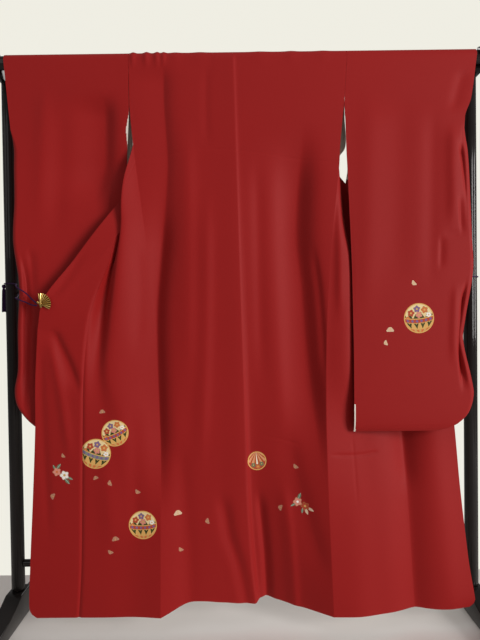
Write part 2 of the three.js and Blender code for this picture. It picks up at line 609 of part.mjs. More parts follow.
function sleeveGrids(table, side) {
  const hand = handOf[side];
  const read = (name) => column(table, 'z', name);
  const outer = read('outer');
  const nearIn = read('nearIn');
  const nearOut = read('nearOut');
  const farIn = read('farIn');
  const farOut = read('farOut');
  const bottom = table.slice(-bottomRows).map((row) => row.z);
  const heights = [...sleeveHeights.filter((z) => z > bottom[0] + leastRow), ...bottom];
  const section = (z) => {
    const near = [nearIn(z), nearOut(z)];
    const far = [farIn(z), farOut(z)];
    const half = (far[1] - near[1]) / 2;
    const closed = z < mouthEnd[side];
    const innerX = innerEdge(side, z) + hand * cloth.seam;
    const outerX = outer(z) - (closed ? hand * half : 0);
    const nearRow = sleeveColumns.map((s) => at(lerp(innerX, outerX, s), lerp(...near, s), z));
    const onFarSeam = z > farSeamEnd - farBlend && z < rod.height;
    const farX = farInnerEdge(side, z) + hand * (onFarSeam ? farSeamGap : cloth.seam);
    const farRow = sleeveColumns.map((s) => at(lerp(farX, outerX, s), lerp(...far, s), z));
    const round = foldTurns.map((turn) => {
      if (!closed) return null;
      const angle = Math.PI * turn;
      return at(outerX + hand * half * Math.sin(angle), near[1] + half * (1 - Math.cos(angle)), z);
    });
    return [...nearRow, ...round, ...farRow.reverse()];
  };
  const innerX = lineAt[side](rod.height) + hand * cloth.seam;
  const outerX = outer(rod.height);
  const across = sleeveColumns.map((s) => lerp(innerX, outerX, s));
  const top = rodTurns.map((turn) => across.map((x) => overRod(x, turn)));
  return [top.reverse(), heights.map(section)];
}
addPart('sode_left', clothWall(sleeveGrids(sleeveLeft, 'left'), cloth.wall), 'silk');
addPart('sode_right', clothWall(sleeveGrids(sleeveRight, 'right'), cloth.wall), 'silk');

// ---------------------------------------------------------------- stand

function cylinder(radius, length, sides) {
  return new THREE.CylinderGeometry(radius, radius, length, sides);
}

const rodPart = addPart('rod', cylinder(rod.radius, 2 * rod.halfLength, rod.sides), 'lacquer');
rodPart.rotation.z = quarter;
rodPart.position.set(0, 0, rod.height);

// A profile drawn across the stand (y, z), given its width along x
function crossPlate(profile, width) {
  const plate = new THREE.ExtrudeGeometry(profile, { depth: width, bevelEnabled: false, curveSegments: 10 });
  plate.translate(0, 0, -width / 2);
  plate.applyMatrix4(new THREE.Matrix4().makeBasis(at(0, 1, 0), at(0, 0, 1), at(1, 0, 0)));
  return plate;
}

// Foot: a beam that rises in a hollow curve to the post, which stands behind its middle
function footProfile() {
  const shape = new THREE.Shape();
  const { halfLength, endHeight, postHeight, shoulder, run } = foot;
  shape.moveTo(-halfLength, 0);
  shape.lineTo(halfLength, 0);
  shape.lineTo(halfLength, endHeight);
  shape.quadraticCurveTo(post.y + shoulder + run, endHeight, post.y + shoulder, postHeight);
  shape.lineTo(post.y - shoulder, postHeight);
  shape.quadraticCurveTo(post.y - shoulder - run, endHeight, -halfLength, endHeight);
  shape.closePath();
  return shape;
}

// Bracket: an arm on the post's front, hollowed under the rod
function bracketProfile() {
  const seat = rod.radius + bracket.clearance;
  const shape = new THREE.Shape();
  shape.moveTo(post.y - post.radius - bracket.clearance, rod.height - bracket.drop);
  shape.lineTo(post.y - post.radius - bracket.clearance, rod.height);
  shape.lineTo(seat, rod.height);
  shape.absarc(0, rod.height, seat, 0, -Math.PI, true);
  shape.lineTo(-seat - bracket.wall, rod.height);
  shape.absarc(0, rod.height, seat + bracket.wall, Math.PI, 1.5 * Math.PI, false);
  shape.closePath();
  return shape;
}

for (const [side, hand] of Object.entries(handOf)) {
  const footPart = addPart(`foot_${side}`, crossPlate(footProfile(), foot.width), 'lacquer');
  footPart.position.x = hand * post.x;
  const postHeight = rod.height + post.aboveRod - foot.postHeight - cloth.seam;
  const postPart = addPart(`post_${side}`, cylinder(post.radius, postHeight, post.sides), 'lacquer');
  postPart.rotation.x = quarter;
  postPart.position.set(hand * post.x, post.y, foot.postHeight + cloth.seam + postHeight / 2);
  const bracketPart = addPart(`bracket_${side}`, crossPlate(bracketProfile(), bracket.width), 'lacquer');
  bracketPart.position.x = hand * post.x;
}
const railLength = 2 * (post.x - post.radius - cloth.seam);
const railPart = addPart('lower_rail', cylinder(rail.radius, railLength, rail.sides), 'lacquer');
railPart.rotation.z = quarter;
railPart.position.set(0, post.y, rail.height);

// ---------------------------------------------------------------- clips, cords and tassels

// Clip: a pleated fan in front of the collar and a plain jaw behind it, joined past the collar's edge
function fanClip(hand) {
  const outline = [];
  const spread = { from: THREE.MathUtils.degToRad(fan.from), to: THREE.MathUtils.degToRad(fan.to) };
  steps(fan.pleats * 2).forEach((share, i) => {
    const angle = lerp(spread.from, spread.to, share);
    const reach = fan.radius - (i % 2 ? 0 : fan.notch);
    outline.push(new THREE.Vector2(hand * -reach * Math.cos(angle), reach * Math.sin(angle)));
  });
  const handle = new THREE.Vector2(hand * fan.handle, -fan.handle);
  const front = new THREE.Shape([handle, ...outline]);
  const plate = new THREE.ExtrudeGeometry(front, { depth: fan.thick, bevelEnabled: false });
  plate.rotateX(quarter);
  const jaw = new THREE.BoxGeometry(fan.jawLength + fan.hinge, fan.thick, fan.jawHeight);
  jaw.translate(-hand * (fan.jawLength - fan.hinge) / 2, fan.open + fan.thick / 2, 0);
  const bridge = new THREE.BoxGeometry(fan.hinge, fan.open + 2 * fan.thick, fan.jawHeight);
  bridge.translate(hand * fan.hinge / 2, fan.open / 2, 0);
  return { plate, jaw, bridge };
}
for (const [side, hand] of Object.entries(handOf)) {
  const { plate, jaw, bridge } = fanClip(hand);
  const whole = joined([plate, jaw, bridge]);
  const clip = addPart(`fan_clip_${side}`, whole, 'gold');
  clip.position.set(...clipAt[side]);
}

for (const side of Object.keys(handOf)) {
  const route = cordRoute[side].map((p) => at(...p));
  addPart(`cord_${side}`, cordAlong(route, cord.diameter, cord.steps), 'braid');
  const tasselPart = addPart(`tassel_${side}`, tasselShape(), 'braid');
  tasselPart.position.set(...tasselAt[side]);
}

export default furisode;
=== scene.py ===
import contextlib
import math
import bpy
import numpy as np
from mathutils import Matrix, Vector


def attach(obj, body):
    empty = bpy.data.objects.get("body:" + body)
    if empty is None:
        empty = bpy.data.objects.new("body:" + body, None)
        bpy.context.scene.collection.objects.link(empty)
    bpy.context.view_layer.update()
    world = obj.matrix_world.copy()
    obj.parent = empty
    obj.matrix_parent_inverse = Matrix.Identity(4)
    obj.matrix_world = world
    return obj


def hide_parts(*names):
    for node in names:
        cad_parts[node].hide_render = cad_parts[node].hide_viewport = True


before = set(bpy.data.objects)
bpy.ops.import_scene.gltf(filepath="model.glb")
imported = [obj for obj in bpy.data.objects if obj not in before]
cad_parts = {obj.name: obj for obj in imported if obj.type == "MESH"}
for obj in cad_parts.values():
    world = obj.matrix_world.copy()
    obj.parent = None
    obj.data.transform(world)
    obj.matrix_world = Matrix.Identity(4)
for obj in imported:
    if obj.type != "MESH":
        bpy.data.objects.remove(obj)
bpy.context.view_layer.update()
scene = bpy.context.scene
scene.view_settings.view_transform = "Standard"
mm = 0.001
hands = {"left": -1, "right": 1}  # the way each side goes from the middle
print("frame loaded")

# Camera: low lens, in front of the garment's back, a hair turned to the right
view = {"place": (-0.005, -1.43, 0.926), "lens": 27.73, "down": 0.93, "roll": -0.74}
bpy.ops.object.camera_add(location=view["place"])
camera = bpy.context.object
camera.name = "camera"
camera.data.lens = view["lens"]
camera.data.sensor_width = 36
camera.data.clip_start = 0.05
lookAhead = Matrix.Rotation(math.radians(90 - view["down"]), 4, "X")
lean = Matrix.Rotation(math.radians(view["roll"]), 4, "Z")
camera.matrix_world = Matrix.Translation(view["place"]) @ lookAhead @ lean
scene.camera = camera
print("camera placed")


# ---- materials: a value wraps a socket, so that shader maths reads as arithmetic
class Value:
    def __init__(self, paint, socket):
        self.paint, self.socket = paint, socket

    def maths(self, operation, *others):
        made = self.paint.node("ShaderNodeMath", {"operation": operation}, dict(enumerate((self, *others))))
        return Value(self.paint, made.outputs[0])

    def __rsub__(self, other):
        return self * -1 + other

    def size(self):
        return self.maths("ABSOLUTE")


def operator(operation):
    return lambda self, other: self.maths(operation, other)


for method, operation in {"add": "ADD", "radd": "ADD", "sub": "SUBTRACT", "mul": "MULTIPLY", "rmul": "MULTIPLY",
                          "truediv": "DIVIDE", "lt": "LESS_THAN", "gt": "GREATER_THAN"}.items():
    setattr(Value, f"__{method}__", operator(operation))


class Paint:
    def __init__(self, name):
        self.material = bpy.data.materials.new(name)
        self.material.use_nodes = True
        self.tree = self.material.node_tree
        self.tree.nodes.clear()
        out = self.tree.nodes.new("ShaderNodeOutputMaterial")
        self.shader = self.tree.nodes.new("ShaderNodeBsdfPrincipled")
        self.tree.links.new(self.shader.outputs[0], out.inputs[0])

    def plug(self, socket, value):
        if isinstance(value, Value):
            self.tree.links.new(value.socket, socket)
        elif isinstance(value, bpy.types.NodeSocket):
            self.tree.links.new(value, socket)
        else:
            socket.default_value = value

    def node(self, kind, settings=None, inputs=None):
        made = self.tree.nodes.new(kind)
        for name, value in (settings or {}).items():
            setattr(made, name, value)
        for name, value in (inputs or {}).items():
            self.plug(made.inputs[name], value)
        return made

    def mix(self, factor, first, second):
        colours = [(*c, 1) if isinstance(c, tuple) else c for c in (first, second)]
        made = self.node("ShaderNodeMix", {"data_type": "RGBA"}, {0: factor, 6: colours[0], 7: colours[1]})
        return made.outputs[2]

    def axes(self, vector):
        split = self.node("ShaderNodeSeparateXYZ", None, {0: vector})
        return [Value(self, socket) for socket in split.outputs]

    def place(self):
        return self.node("ShaderNodeTexCoord").outputs["Object"]

    def noise(self, scale, detail=2.0):
        inputs = {"Vector": self.place(), "Scale": scale, "Detail": detail}
        return Value(self, self.node("ShaderNodeTexNoise", None, inputs).outputs[0])

    def set(self, **sockets):
        for name, value in sockets.items():
            self.plug(self.shader.inputs[name.replace("_", " ")], value)

    def bump(self, height, strength, distance):
        made = self.node("ShaderNodeBump", None, {"Strength": strength, "Distance": distance, "Height": height})
        self.set(Normal=made.outputs[0])


# Motif colours, linear
dye = {
    "red": (0.33, 0.0088, 0.0078), "deepRed": (0.20, 0.006, 0.008), "gold": (0.70, 0.40, 0.12),
    "paleGold": (0.60, 0.37, 0.12), "cream": (0.80, 0.63, 0.33), "orange": (0.62, 0.17, 0.05),
    "scarlet": (0.45, 0.06, 0.03), "purple": (0.20, 0.12, 0.27), "pink": (0.70, 0.26, 0.20),
    "white": (0.90, 0.86, 0.80), "green": (0.045, 0.055, 0.014), "leaf": (0.13, 0.19, 0.11),
    "grey": (0.22, 0.24, 0.20), "beige": (0.45, 0.20, 0.13), "paleBeige": (0.68, 0.48, 0.32),
}


def ownAxes(x, z, centre, turn, length, width=None):
    # a motif's axes from its centre, in its own length and width
    dx, dz, width = x - centre[0], z - centre[1], width or length
    c, s = math.cos(turn), math.sin(turn)
    return dx * (c / length) + dz * (s / length), dz * (c / width) - dx * (s / width)


def distance(u, v):
    return (u * u + v * v).maths("SQRT")


def saw(value):
    # falls and rises between a half and nothing in each whole step
    return (value.maths("FRACT") - 0.5).size()


def petalRing(paint, x, z, centre, radius, turn, name, heart, ground):
    # a round flower of five overlapping petals, with a darker line between them and a small heart
    dx, dz, colour = x - centre[0], z - centre[1], dye[name]
    away = distance(dx, dz)
    wave = ((dz.maths("ARCTAN2", dx) + turn) * 5).maths("COSINE")
    lobes = wave * (0.13 * radius) + 0.87 * radius
    creased = (away > lobes * 0.84).maths("MAXIMUM", wave < -0.9)
    shade = paint.mix(creased, colour, tuple(c * 0.55 + 0.25 * g for c, g in zip(colour, dye["paleGold"])))
    shade = paint.mix(away < 0.26 * radius, shade, dye[heart])
    return paint.mix(away < lobes, ground, shade)


def leafShape(paint, x, z, centre, length, turn, name, ground):
    # a pointed leaf: two arcs that meet at its tips, with a pale rib
    along, across = ownAxes(x, z, centre, turn, length, length * 0.42)
    across = across.size()
    leaf = paint.mix(across < 0.13, dye[name], tuple(c * 0.5 + 0.4 for c in dye[name]))
    return paint.mix((along * along + across) < 1, ground, leaf)


def thrownPetal(paint, x, z, centre, length, turn, name, ground):
    # a fallen petal: broad, with one straight side and a notch
    along, across = ownAxes(x, z, centre, turn, length)
    bow = along * along + (across * 1.3).maths("POWER", 2)
    inside = (bow < 1) * (across > -0.42) * ((along.size() + across * 0.8) < 0.95)
    return paint.mix(inside, ground, paint.mix(along.size() < 0.05, dye[name], dye["gold"]))


ballFlowers = [((-0.50, 0.38), 0.25, "scarlet"), ((-0.08, 0.62), 0.24, "purple"), ((0.42, 0.52), 0.25, "orange"),
               ((0.02, 0.22), 0.24, "pink"), ((0.66, 0.16), 0.19, "white"), ((-0.74, 0.04), 0.17, "orange")]


def balls(paint, x, z, motifs, ground):
    # every thread-wound ball on a piece is drawn by one pattern: each gives it its own axes
    sums = None
    for ball in motifs:
        u, v = ownAxes(x, z, ball["at"], ball["turn"], ball["radius"])
        here = (u * u + v * v) < 1
        own = [u * here, v * here, here * ball["tint"], here]
        sums = own if sums is None else [a + b for a, b in zip(sums, own)]
    u, v, tint, found = sums
    bulge = u / ((1.08 - v * v).maths("SQRT"))
    colour = paint.mix(v > 0.05, dye["paleGold"], dye["cream"])
    # wedges of dark thread that stand on the band
    wave = saw(bulge * 2.6) * 2
    arch = v - (bulge * bulge) * 0.16
    wedge = (arch > -0.02) * ((wave * 0.34 + arch) < 0.30)
    colour = paint.mix(wedge, colour, paint.mix(wave > 0.75, dye["green"], dye["scarlet"]))
    for turn, (centre, radius, name) in enumerate(ballFlowers):
        colour = petalRing(paint, u, v, centre, radius, turn, name, "gold", colour)
    # lower half: a net of triangles
    net = saw(bulge * 2.2) * 2
    low = arch + 0.42
    slope = net * 0.5 - low
    lattice = paint.mix(slope < 0.30, dye["gold"], dye["green"])
    lattice = paint.mix(slope < 0.02, lattice, dye["paleGold"])
    lattice = paint.mix(low < -0.34, lattice, paint.mix(net > 0.55, dye["orange"], dye["paleGold"]))
    colour = paint.mix(arch < -0.30, colour, lattice)
    # the band round its middle, with gold edges and small lozenges
    band = (arch + 0.20).size()
    strip = paint.mix(tint > 0.5, dye["scarlet"], dye["grey"])
    strip = paint.mix(saw(bulge * 3.4) * 0.34 + band < 0.11, strip, dye["purple"])
    colour = paint.mix(band < 0.15, colour, paint.mix(band < 0.115, dye["gold"], strip))
    colour = paint.mix(distance(u, v) > 0.93, colour, dye["gold"])
    return paint.mix(found, ground, colour)


def stripedBall(paint, x, z, ball, ground):
    # the small ball: leaf stripes fan out from its top, with flowers below
    u, v = ownAxes(x, z, ball["at"], ball["turn"], ball["radius"])
    away = distance(u, v)
    fan = u.maths("ARCTAN2", 1.02 - v)
    stripe = saw(fan * 2.9 + 0.5)
    leaf = (stripe < 0.30) * (distance(u, v - 1.0) < 1.35)
    colour = paint.mix(leaf, dye["scarlet"], paint.mix(stripe < 0.14, dye["gold"], dye["white"]))
    colour = paint.mix((stripe < 0.14) * (fan.size() > 0.28) * leaf, colour, dye["pink"])
    for centre, name in (((-0.42, -0.42), "leaf"), ((0.05, -0.62), "orange"), ((0.46, -0.36), "leaf")):
        colour = petalRing(paint, u, v, centre, 0.26, 0.4, name, "gold", colour)
    colour = paint.mix(away > 0.90, colour, dye["gold"])
    return paint.mix(away < 1, ground, colour)


def petals(paint, x, z, thrown, ground):
    for petal in thrown:
        ground = thrownPetal(paint, x, z, *petal, ground)
    return ground


def spray(paint, x, z, flowersAndLeaves, ground):
    flowers, leaves = flowersAndLeaves
    for leaf in leaves:
        ground = leafShape(paint, x, z, *leaf, ground)
    for centre, radius, name, heart in flowers:
        ground = petalRing(paint, x, z, centre, radius, 0.6, name, heart, ground)
    return ground


drawings = {"balls": balls, "striped": stripedBall, "petals": petals, "spray": spray}
crepe = {"grain": 620, "slub": 95, "bump": 0.35, "depth": 0.0007, "roughness": 0.62, "sheen": 0.10}


def silkCrepe(name, motifs=None):
    paint = Paint(name)
    x, z, _ = paint.axes(paint.node("ShaderNodeUVMap", {"uv_map": "cloth"}).outputs[0])
    soft = paint.noise(2.2, 3.0)
    grain = paint.noise(crepe["grain"], 3.0)
    slub = paint.noise(crepe["slub"], 2.0)
    colour = paint.mix((soft - 0.5) * 0.9 + 0.4, dye["red"], tuple(c * 0.86 for c in dye["red"]))
    colour = paint.mix((grain - 0.5) * 0.7 + 0.15, colour, dye["deepRed"])
    for kind, entries in (motifs or {}).items():
        colour = drawings[kind](paint, x, z, entries, colour)
    paint.set(Base_Color=colour, Roughness=(grain - 0.5) * 0.2 + crepe["roughness"], Specular_IOR_Level=0.17)
    paint.set(Sheen_Weight=crepe["sheen"], Sheen_Roughness=0.45, Sheen_Tint=(1.0, 0.45, 0.4, 1))
    paint.bump(grain * 0.7 + slub * 0.5, crepe["bump"], crepe["depth"])
    return paint.material


def liningSilk():
    paint = Paint("lining")
    threads = paint.noise(520, 2.0)
    colour = paint.mix(paint.noise(3.0) * 0.6 + 0.1, (0.80, 0.74, 0.66), (0.74, 0.62, 0.55))
    paint.set(Base_Color=colour, Roughness=(threads - 0.5) * 0.15 + 0.5)
    paint.set(Sheen_Weight=0.2, Specular_IOR_Level=0.35)
    paint.bump(threads, 0.2, 0.0004)
    return paint.material


lining = liningSilk()

# ---- cloth: the same cut as the solids, in millimetres, woven finer and with its smaller folds
rodHeight, overRod = 1650, 20
overTop = 1640  # a fold whose line starts above this runs on over the rod
hem, neckHeight, neckHalf, collarWidth = 70, 1612, 95, 55
wall = {"cloth": 1.5, "collar": 1.8, "seam": 0.5}
# the height where each of these begins to show, and how far down (up, if negative) it is whole
fades = {"underRod": (1644, 70), "hemLift": (290, 220), "hemSag": (310, 230), "bodyWaves": (1622, -28),
         "sleeveWaves": (1540, -110), "pastFront": (1290, 60), "notAtFold": (690, -60), "pastCollar": (1500, 30),
         "overFront": (1280, -60)}
sleeveRoom = {"pastFront": 14, "more": 0.8, "pastCollar": 7}  # how far the far layer gives way to the front
sleeveEdge = {"share": 0.03, "bottom": 40, "mouth": 70}  # where its folds die out, and its mouth narrows
nape = {"narrow": 0.72, "out": 5}
frontFoldsFrom, sagRun = 0.18, 130

backLines = {
    "z": [1650, 1522, 1405, 1328, 1133, 964, 821, 606, 391, 202, 70],
    "left": [-312, -312, -303, -294, -272, -262, -249, -241, -238, -240, -242],
    "centre": [-21, -18, -16, -14, -8, -4, -1, 2, 5, 15, 28],
    "right": [308, 299, 287, 282, 260, 247, 241, 239, 241, 247, 251],
}
backHem = {"x": [-242, -160, -60, 28, 46, 80, 158, 251], "y": [-40, -16, -6, 0, 14, 12, -10, -46],
           "lift": [0, 29, 23, 15, 25, 24, 12, 0]}
hemReach, hemSag = 1.8, 13

# rows down each front: how its side runs and where, its turn, its dip, its overlap seam where that isn't the
# collar's line, and how far along the collar the row is
frontTables = {
    "left": [
        ("hangs", 1612, (-240, 20, 1612), (-168, 20, 1612), None, 0),
        ("hangs", 1500, (-250, 16, 1478), (-182, 0, 1470), None, 0.12),
        ("hangs", 1400, (-262, 6, 1360), (-196, -4, 1340), None, 0.25),
        ("hangs", 1342, (-284, -2, 1290), (-232, -4, 1250), None, 0.35),
        ("side", (-308, 2, 1372), (-316, -16, 1300), (-268, -6, 1215), None, 0.44),
        ("joins", 1405, (-333, -34, 1262), (-310, 0, 1165), None, 0.53),
        ("joins", 1230, (-337, -36, 1180), (-326, 2, 1136), None, 0.625),
        ("joins", 1133, (-343, -38, 1110), (-362, -12, 1078), (-378, -33, 1060), 0.76),
        ("joins", 964, (-361, -38, 960), (-394, -12, 956), (-416, -44, 962), 0.89),
        ("joins", 890, (-368, -37, 890), (-404, -18, 888), (-434, -46, 888), 1),
        ("joins", 750, (-376, -35, 750), (-412, -30, 750), (-449, -44, 750), None),
        ("joins", 606, (-336, -31, 606), (-398, -33, 606), (-455, -40, 606), None),
        ("joins", 390, (-312, -31, 391), (-388, -36, 391), (-461, -38, 391), None),
        ("joins", 190, (-318, -31, 202), (-396, -33, 202), (-468, -34, 202), None),
        ("joins", 70, (-322, -32, 70), (-400, -33, 70), (-479, -32, 70), None),
    ],
    "right": [
        ("hangs", 1612, (237, 20, 1612), (166, 20, 1612), None, 0),
        ("hangs", 1500, (248, 16, 1478), (182, 0, 1470), None, 0.12),
        ("hangs", 1400, (262, 6, 1360), (196, -4, 1340), None, 0.25),
        ("side", (277, 14, 1372), (256, 6, 1290), (228, 2, 1240), None, 0.35),
        ("side", (279, 2, 1340), (284, 8, 1262), (264, 14, 1198), None, 0.44),
        ("joins", 1328, (294, 4, 1225), (294, 26, 1160), None, 0.53),
        ("joins", 1200, (301, -12, 1150), (322, 26, 1108), None, 0.625),
        ("joins", 1120, (307, -22, 1090), (338, 27, 1050), (400, 36, 1055), 0.76),
        ("joins", 964, (311, -23, 950), (345, 22, 950), (430, 32, 962), 0.89),
        ("joins", 890, (312, -23, 885), (347, 18, 885), (448, 30, 888), 1),
        ("joins", 750, (312, -21, 750), (351, 12, 750), (462, 22, 750), None),
        ("joins", 606, (318, -6, 606), (384, 4, 606), (471, 16, 606), None),
        ("joins", 390, (316, -28, 391), (396, -20, 391), (478, -15, 391), None),
        ("joins", 190, (320, -40, 202), (402, -34, 202), (486, -26, 202), None),
        ("joins", 70, (324, -47, 70), (408, -38, 70), (494, -29, 70), None),
    ],
}
tipRow, collarEndRow, joinedRow = 6, 9, 5

edgeTables = {
    "left": {"z": [888, 738, 606, 400, 202, 110, 84, 70], "x": [-569, -581, -586, -599, -613, -618, -614, -598],
             "y": [-57, -52, -46, -40, -35, -33, -32, -31]},
    "right": {"z": [888, 738, 606, 400, 202, 110, 84, 70], "x": [585, 606, 621, 633, 652, 668, 670, 655],
              "y": [37, 30, 20, 5, -4, -4, -3, -3]},
}
collarTables = {
    "left": [(-62, 30, 1572), (-118, 60, 1530), (-200, 48, 1447), (-272, 24, 1347), (-335, -5, 1262),
             (-395, -31, 1180), (-470, -46, 1077), (-551, -61, 966), (-569, -57, 888)],
    "right": [(62, 30, 1572), (118, 60, 1530), (200, 48, 1447), (272, 32, 1349), (345, 38, 1262),
              (405, 36, 1180), (480, 36, 1082), (565, 38, 972), (585, 37, 888)],
}
collarTurns = [180, 265, 330, 352, 360, 363, 366, 366, 366]

sleeveTables = {
    "left": {
        "z": [1650, 1522, 1400, 1342, 1250, 1138, 1011, 883, 768, 711, 670, 634, 607, 590, 580],
        "inner": [-312, -312, -321, -327, -338, -336, -332, -326, -323, -322, -322, -322, -322, -322, -322],
        "outer": [-667, -654, -643, -643, -643, -648, -633, -639, -641, -651, -646, -624, -596, -566, -536],
        "nearIn": [-20, -20, -8, 5, 12, 12, 7, 1, -6, -9, -12, -14, -14, -12, -9],
        "nearOut": [-20, -25, -28, -29, -30, -32, -33, -33, -32, -32, -32, -31, -29, -25, -21],
        "farIn": [20, 21, 25, 25, 27, 26, 20, 12, 6, 1, 0, 0, -1, -4, -9],
        "farOut": [20, 12, 2, -2, -4, -6, -8, -9, -10, -10, -10, -11, -13, -17, -21],
    },
    "right": {
        "z": [1650, 1522, 1468, 1381, 1330, 1220, 1138, 1038, 895, 838, 723, 680, 630, 600, 587, 579],
        "inner": [308, 299, 300, 302, 304, 308, 311, 314, 316, 317, 317, 317, 317, 317, 317, 317],
        "outer": [677, 657, 638, 649, 652, 656, 659, 662, 638, 632, 656, 661, 646, 616, 590, 556],
        "nearIn": [-20, -20, -25, -27, -28, -29, -30, -30, -30, -30, -30, -30, -30, -28, -24, -19],
        "nearOut": [-20, -24, -27, -28, -29, -30, -30, -30, -31, -31, -31, -31, -30, -28, -24, -20],
        "farIn": [20, 21, 23, 25, 24, 12, 4, -1, -4, -5, -6, -6, -7, -9, -13, -19],
        "farOut": [20, 9, 3, -2, -4, -5, -5, -5, -6, -6, -7, -8, -9, -12, -15, -20],
    },
}
mouthEnd = {"left": 1455, "right": 1468}
seamEnd, farSeamEnd, farBlend, farGap = 1522, 1342, 80, 1.1

# smaller folds: how far each sinks (a ridge is negative), its width to the left and to the right of its line,
# the power that shapes it, and its line of (x, z)
folds = {
    "back": [
        (11, (70, 20), 1.3, [(-214, 1656), (-215, 1535), (-211, 1450), (-207, 1360), (-211, 1280),
         (-220, 1180)]),
        (31, (56, 28), 1.5, [(-208, 1330), (-228, 1115), (-243, 960), (-246, 863), (-244, 670), (-241, 480),
         (-240, 300)]),
        (-4, (30, 22), 2, [(-150, 1500), (-148, 1200), (-152, 900), (-160, 640)]),
        (-4, (26, 18), 2, [(-96, 1305), (-100, 962), (-112, 676), (-128, 390)]),
        (4, (30, 26), 2, [(-190, 591), (-174, 390), (-164, 219), (-162, 60)]),
        (7, (20, 20), 2, [(-66, 418), (-44, 274), (-18, 188), (6, 60)]),
        (9, (9, 17), 2, [(42, 415), (51, 302), (58, 216), (64, 60)]),
        (-4, (22, 14), 2, [(112, 440), (132, 272), (146, 60)]),
        (31, (88, 36), 1.8, [(178, 1480), (176, 1415), (166, 1270), (162, 1130), (175, 995), (187, 815),
         (202, 670), (216, 528), (226, 400)]),
        (4, (12, 8), 2, [(204, 1130), (222, 1000), (232, 860), (238, 700)]),
        (-4, (30, 24), 2, [(96, 1420), (98, 1120), (106, 820), (118, 500)]),
        (3, (16, 20), 2, [(48, 1389), (52, 960), (58, 673)]),
        (5, (36, 26), 2, [(128, 600), (152, 440), (190, 300), (236, 128)]),
        (1.6, (13, 13), 2, [(-90, 1640), (-94, 1520), (-92, 1380)]),
    ],
    "centreSeam": [
        (-2.4, (44, 4), 1.5, [(-15, 1656), (-10, 1390), (-5, 1103), (1, 817), (7, 588), (15, 359), (34, 60)]),
    ],
    "frontLeft": [
        (4, (3, 5), 1.4, [(-372, 1080), (-416, 962), (-434, 888), (-449, 750), (-455, 606), (-461, 391),
         (-468, 202), (-479, 60)]),
        (9, (26, 14), 2, [(-540, 900), (-518, 850), (-486, 775), (-462, 690)]),
        (3, (16, 16), 2, [(-540, 960), (-500, 1010), (-462, 1070), (-436, 1110)]),
        (-4, (14, 14), 2, [(-543, 916), (-525, 797), (-505, 656), (-490, 487)]),
        (3, (14, 14), 2, [(-558, 882), (-566, 713), (-563, 488), (-555, 234)]),
        (-3, (26, 26), 2, [(-404, 598), (-384, 401), (-375, 231)]),
        (3, (23, 23), 2, [(-318, 682), (-310, 456), (-307, 231)]),
        (4, (20, 20), 2, [(-284, 1133), (-286, 963), (-300, 794)]),
    ],
    "frontRight": [
        (1.1, (3, 3), 2, [(315, 575), (318, 521), (322, 430), (325, 350)]),
        (28, (66, 44), 1.5, [(430, 990), (448, 888), (473, 606), (480, 391), (488, 202), (496, 60)]),
        (7, (26, 24), 1.5, [(462, 660), (476, 560), (482, 460), (486, 380)]),
        (3, (40, 50), 2, [(352, 1000), (362, 555), (372, 326), (387, 60)]),
        (-4, (40, 40), 2, [(556, 924), (560, 524), (577, 324), (600, 60)]),
        (-4, (14, 14), 2, [(272, 1308), (278, 1074), (281, 870)]),
    ],
    "left": [
        (10, (8, 14), 2, [(-622, 1110), (-614, 1030), (-613, 940), (-617, 798), (-622, 627)]),
        (4, (8, 14), 2, [(-600, 1120), (-594, 1040), (-590, 960)]),
        (3, (7, 7), 2, [(-602, 883), (-604, 954), (-606, 996)]),
        (3, (26, 26), 2, [(-502, 1535), (-517, 1308), (-536, 1109)]),
        (-3, (23, 23), 2, [(-550, 1592), (-561, 1365), (-575, 1166)]),
        (19, (80, 30), 2, [(-388, 1560), (-390, 1440), (-398, 1340), (-426, 1230)]),
        (4, (9, 9), 2, [(-584, 916), (-586, 797), (-590, 684)]),
    ],
    "right": [
        (-6, (18, 26), 2, [(607, 1463), (603, 1350), (604, 1236), (600, 1137)]),
        (10, (7, 6), 2, [(624, 1406), (634, 1349), (642, 1278), (647, 1222)]),
        (3, (16, 20), 2, [(640, 1610), (628, 1570), (614, 1520), (606, 1480)]),
        (3, (6, 12), 2, [(569, 1136), (568, 1090), (566, 1036)]),
        (4, (4, 9), 2, [(620, 1250), (623, 1190), (628, 1136)]),
        (15, (6, 12), 2, [(638, 1009), (629, 924), (622, 824), (626, 739), (628, 682)]),
        (-3, (11, 11), 2, [(610, 1009), (603, 895), (601, 753)]),
        (3, (40, 40), 2, [(458, 1551), (448, 1238), (439, 954)]),
        (-3, (34, 34), 2, [(373, 1580), (362, 1183), (352, 842)]),
        (3, (23, 23), 2, [(548, 1521), (542, 1237), (535, 953)]),
    ],
    "farLeft": [
        (-4, (14, 14), 2, [(-610, 1600), (-600, 1300), (-606, 900), (-612, 660)]),
        (3, (26, 26), 2, [(-520, 1560), (-500, 1200), (-492, 800)]),
        (-3, (22, 22), 2, [(-410, 1500), (-424, 1100), (-418, 700)]),
    ],
    "farRight": [
        (-4, (13, 13), 2, [(602, 1590), (612, 1250), (600, 900), (608, 700)]),
        (3, (24, 24), 2, [(500, 1570), (512, 1150), (520, 760)]),
        (-3, (20, 20), 2, [(400, 1540), (388, 1200), (396, 820)]),
    ],
}
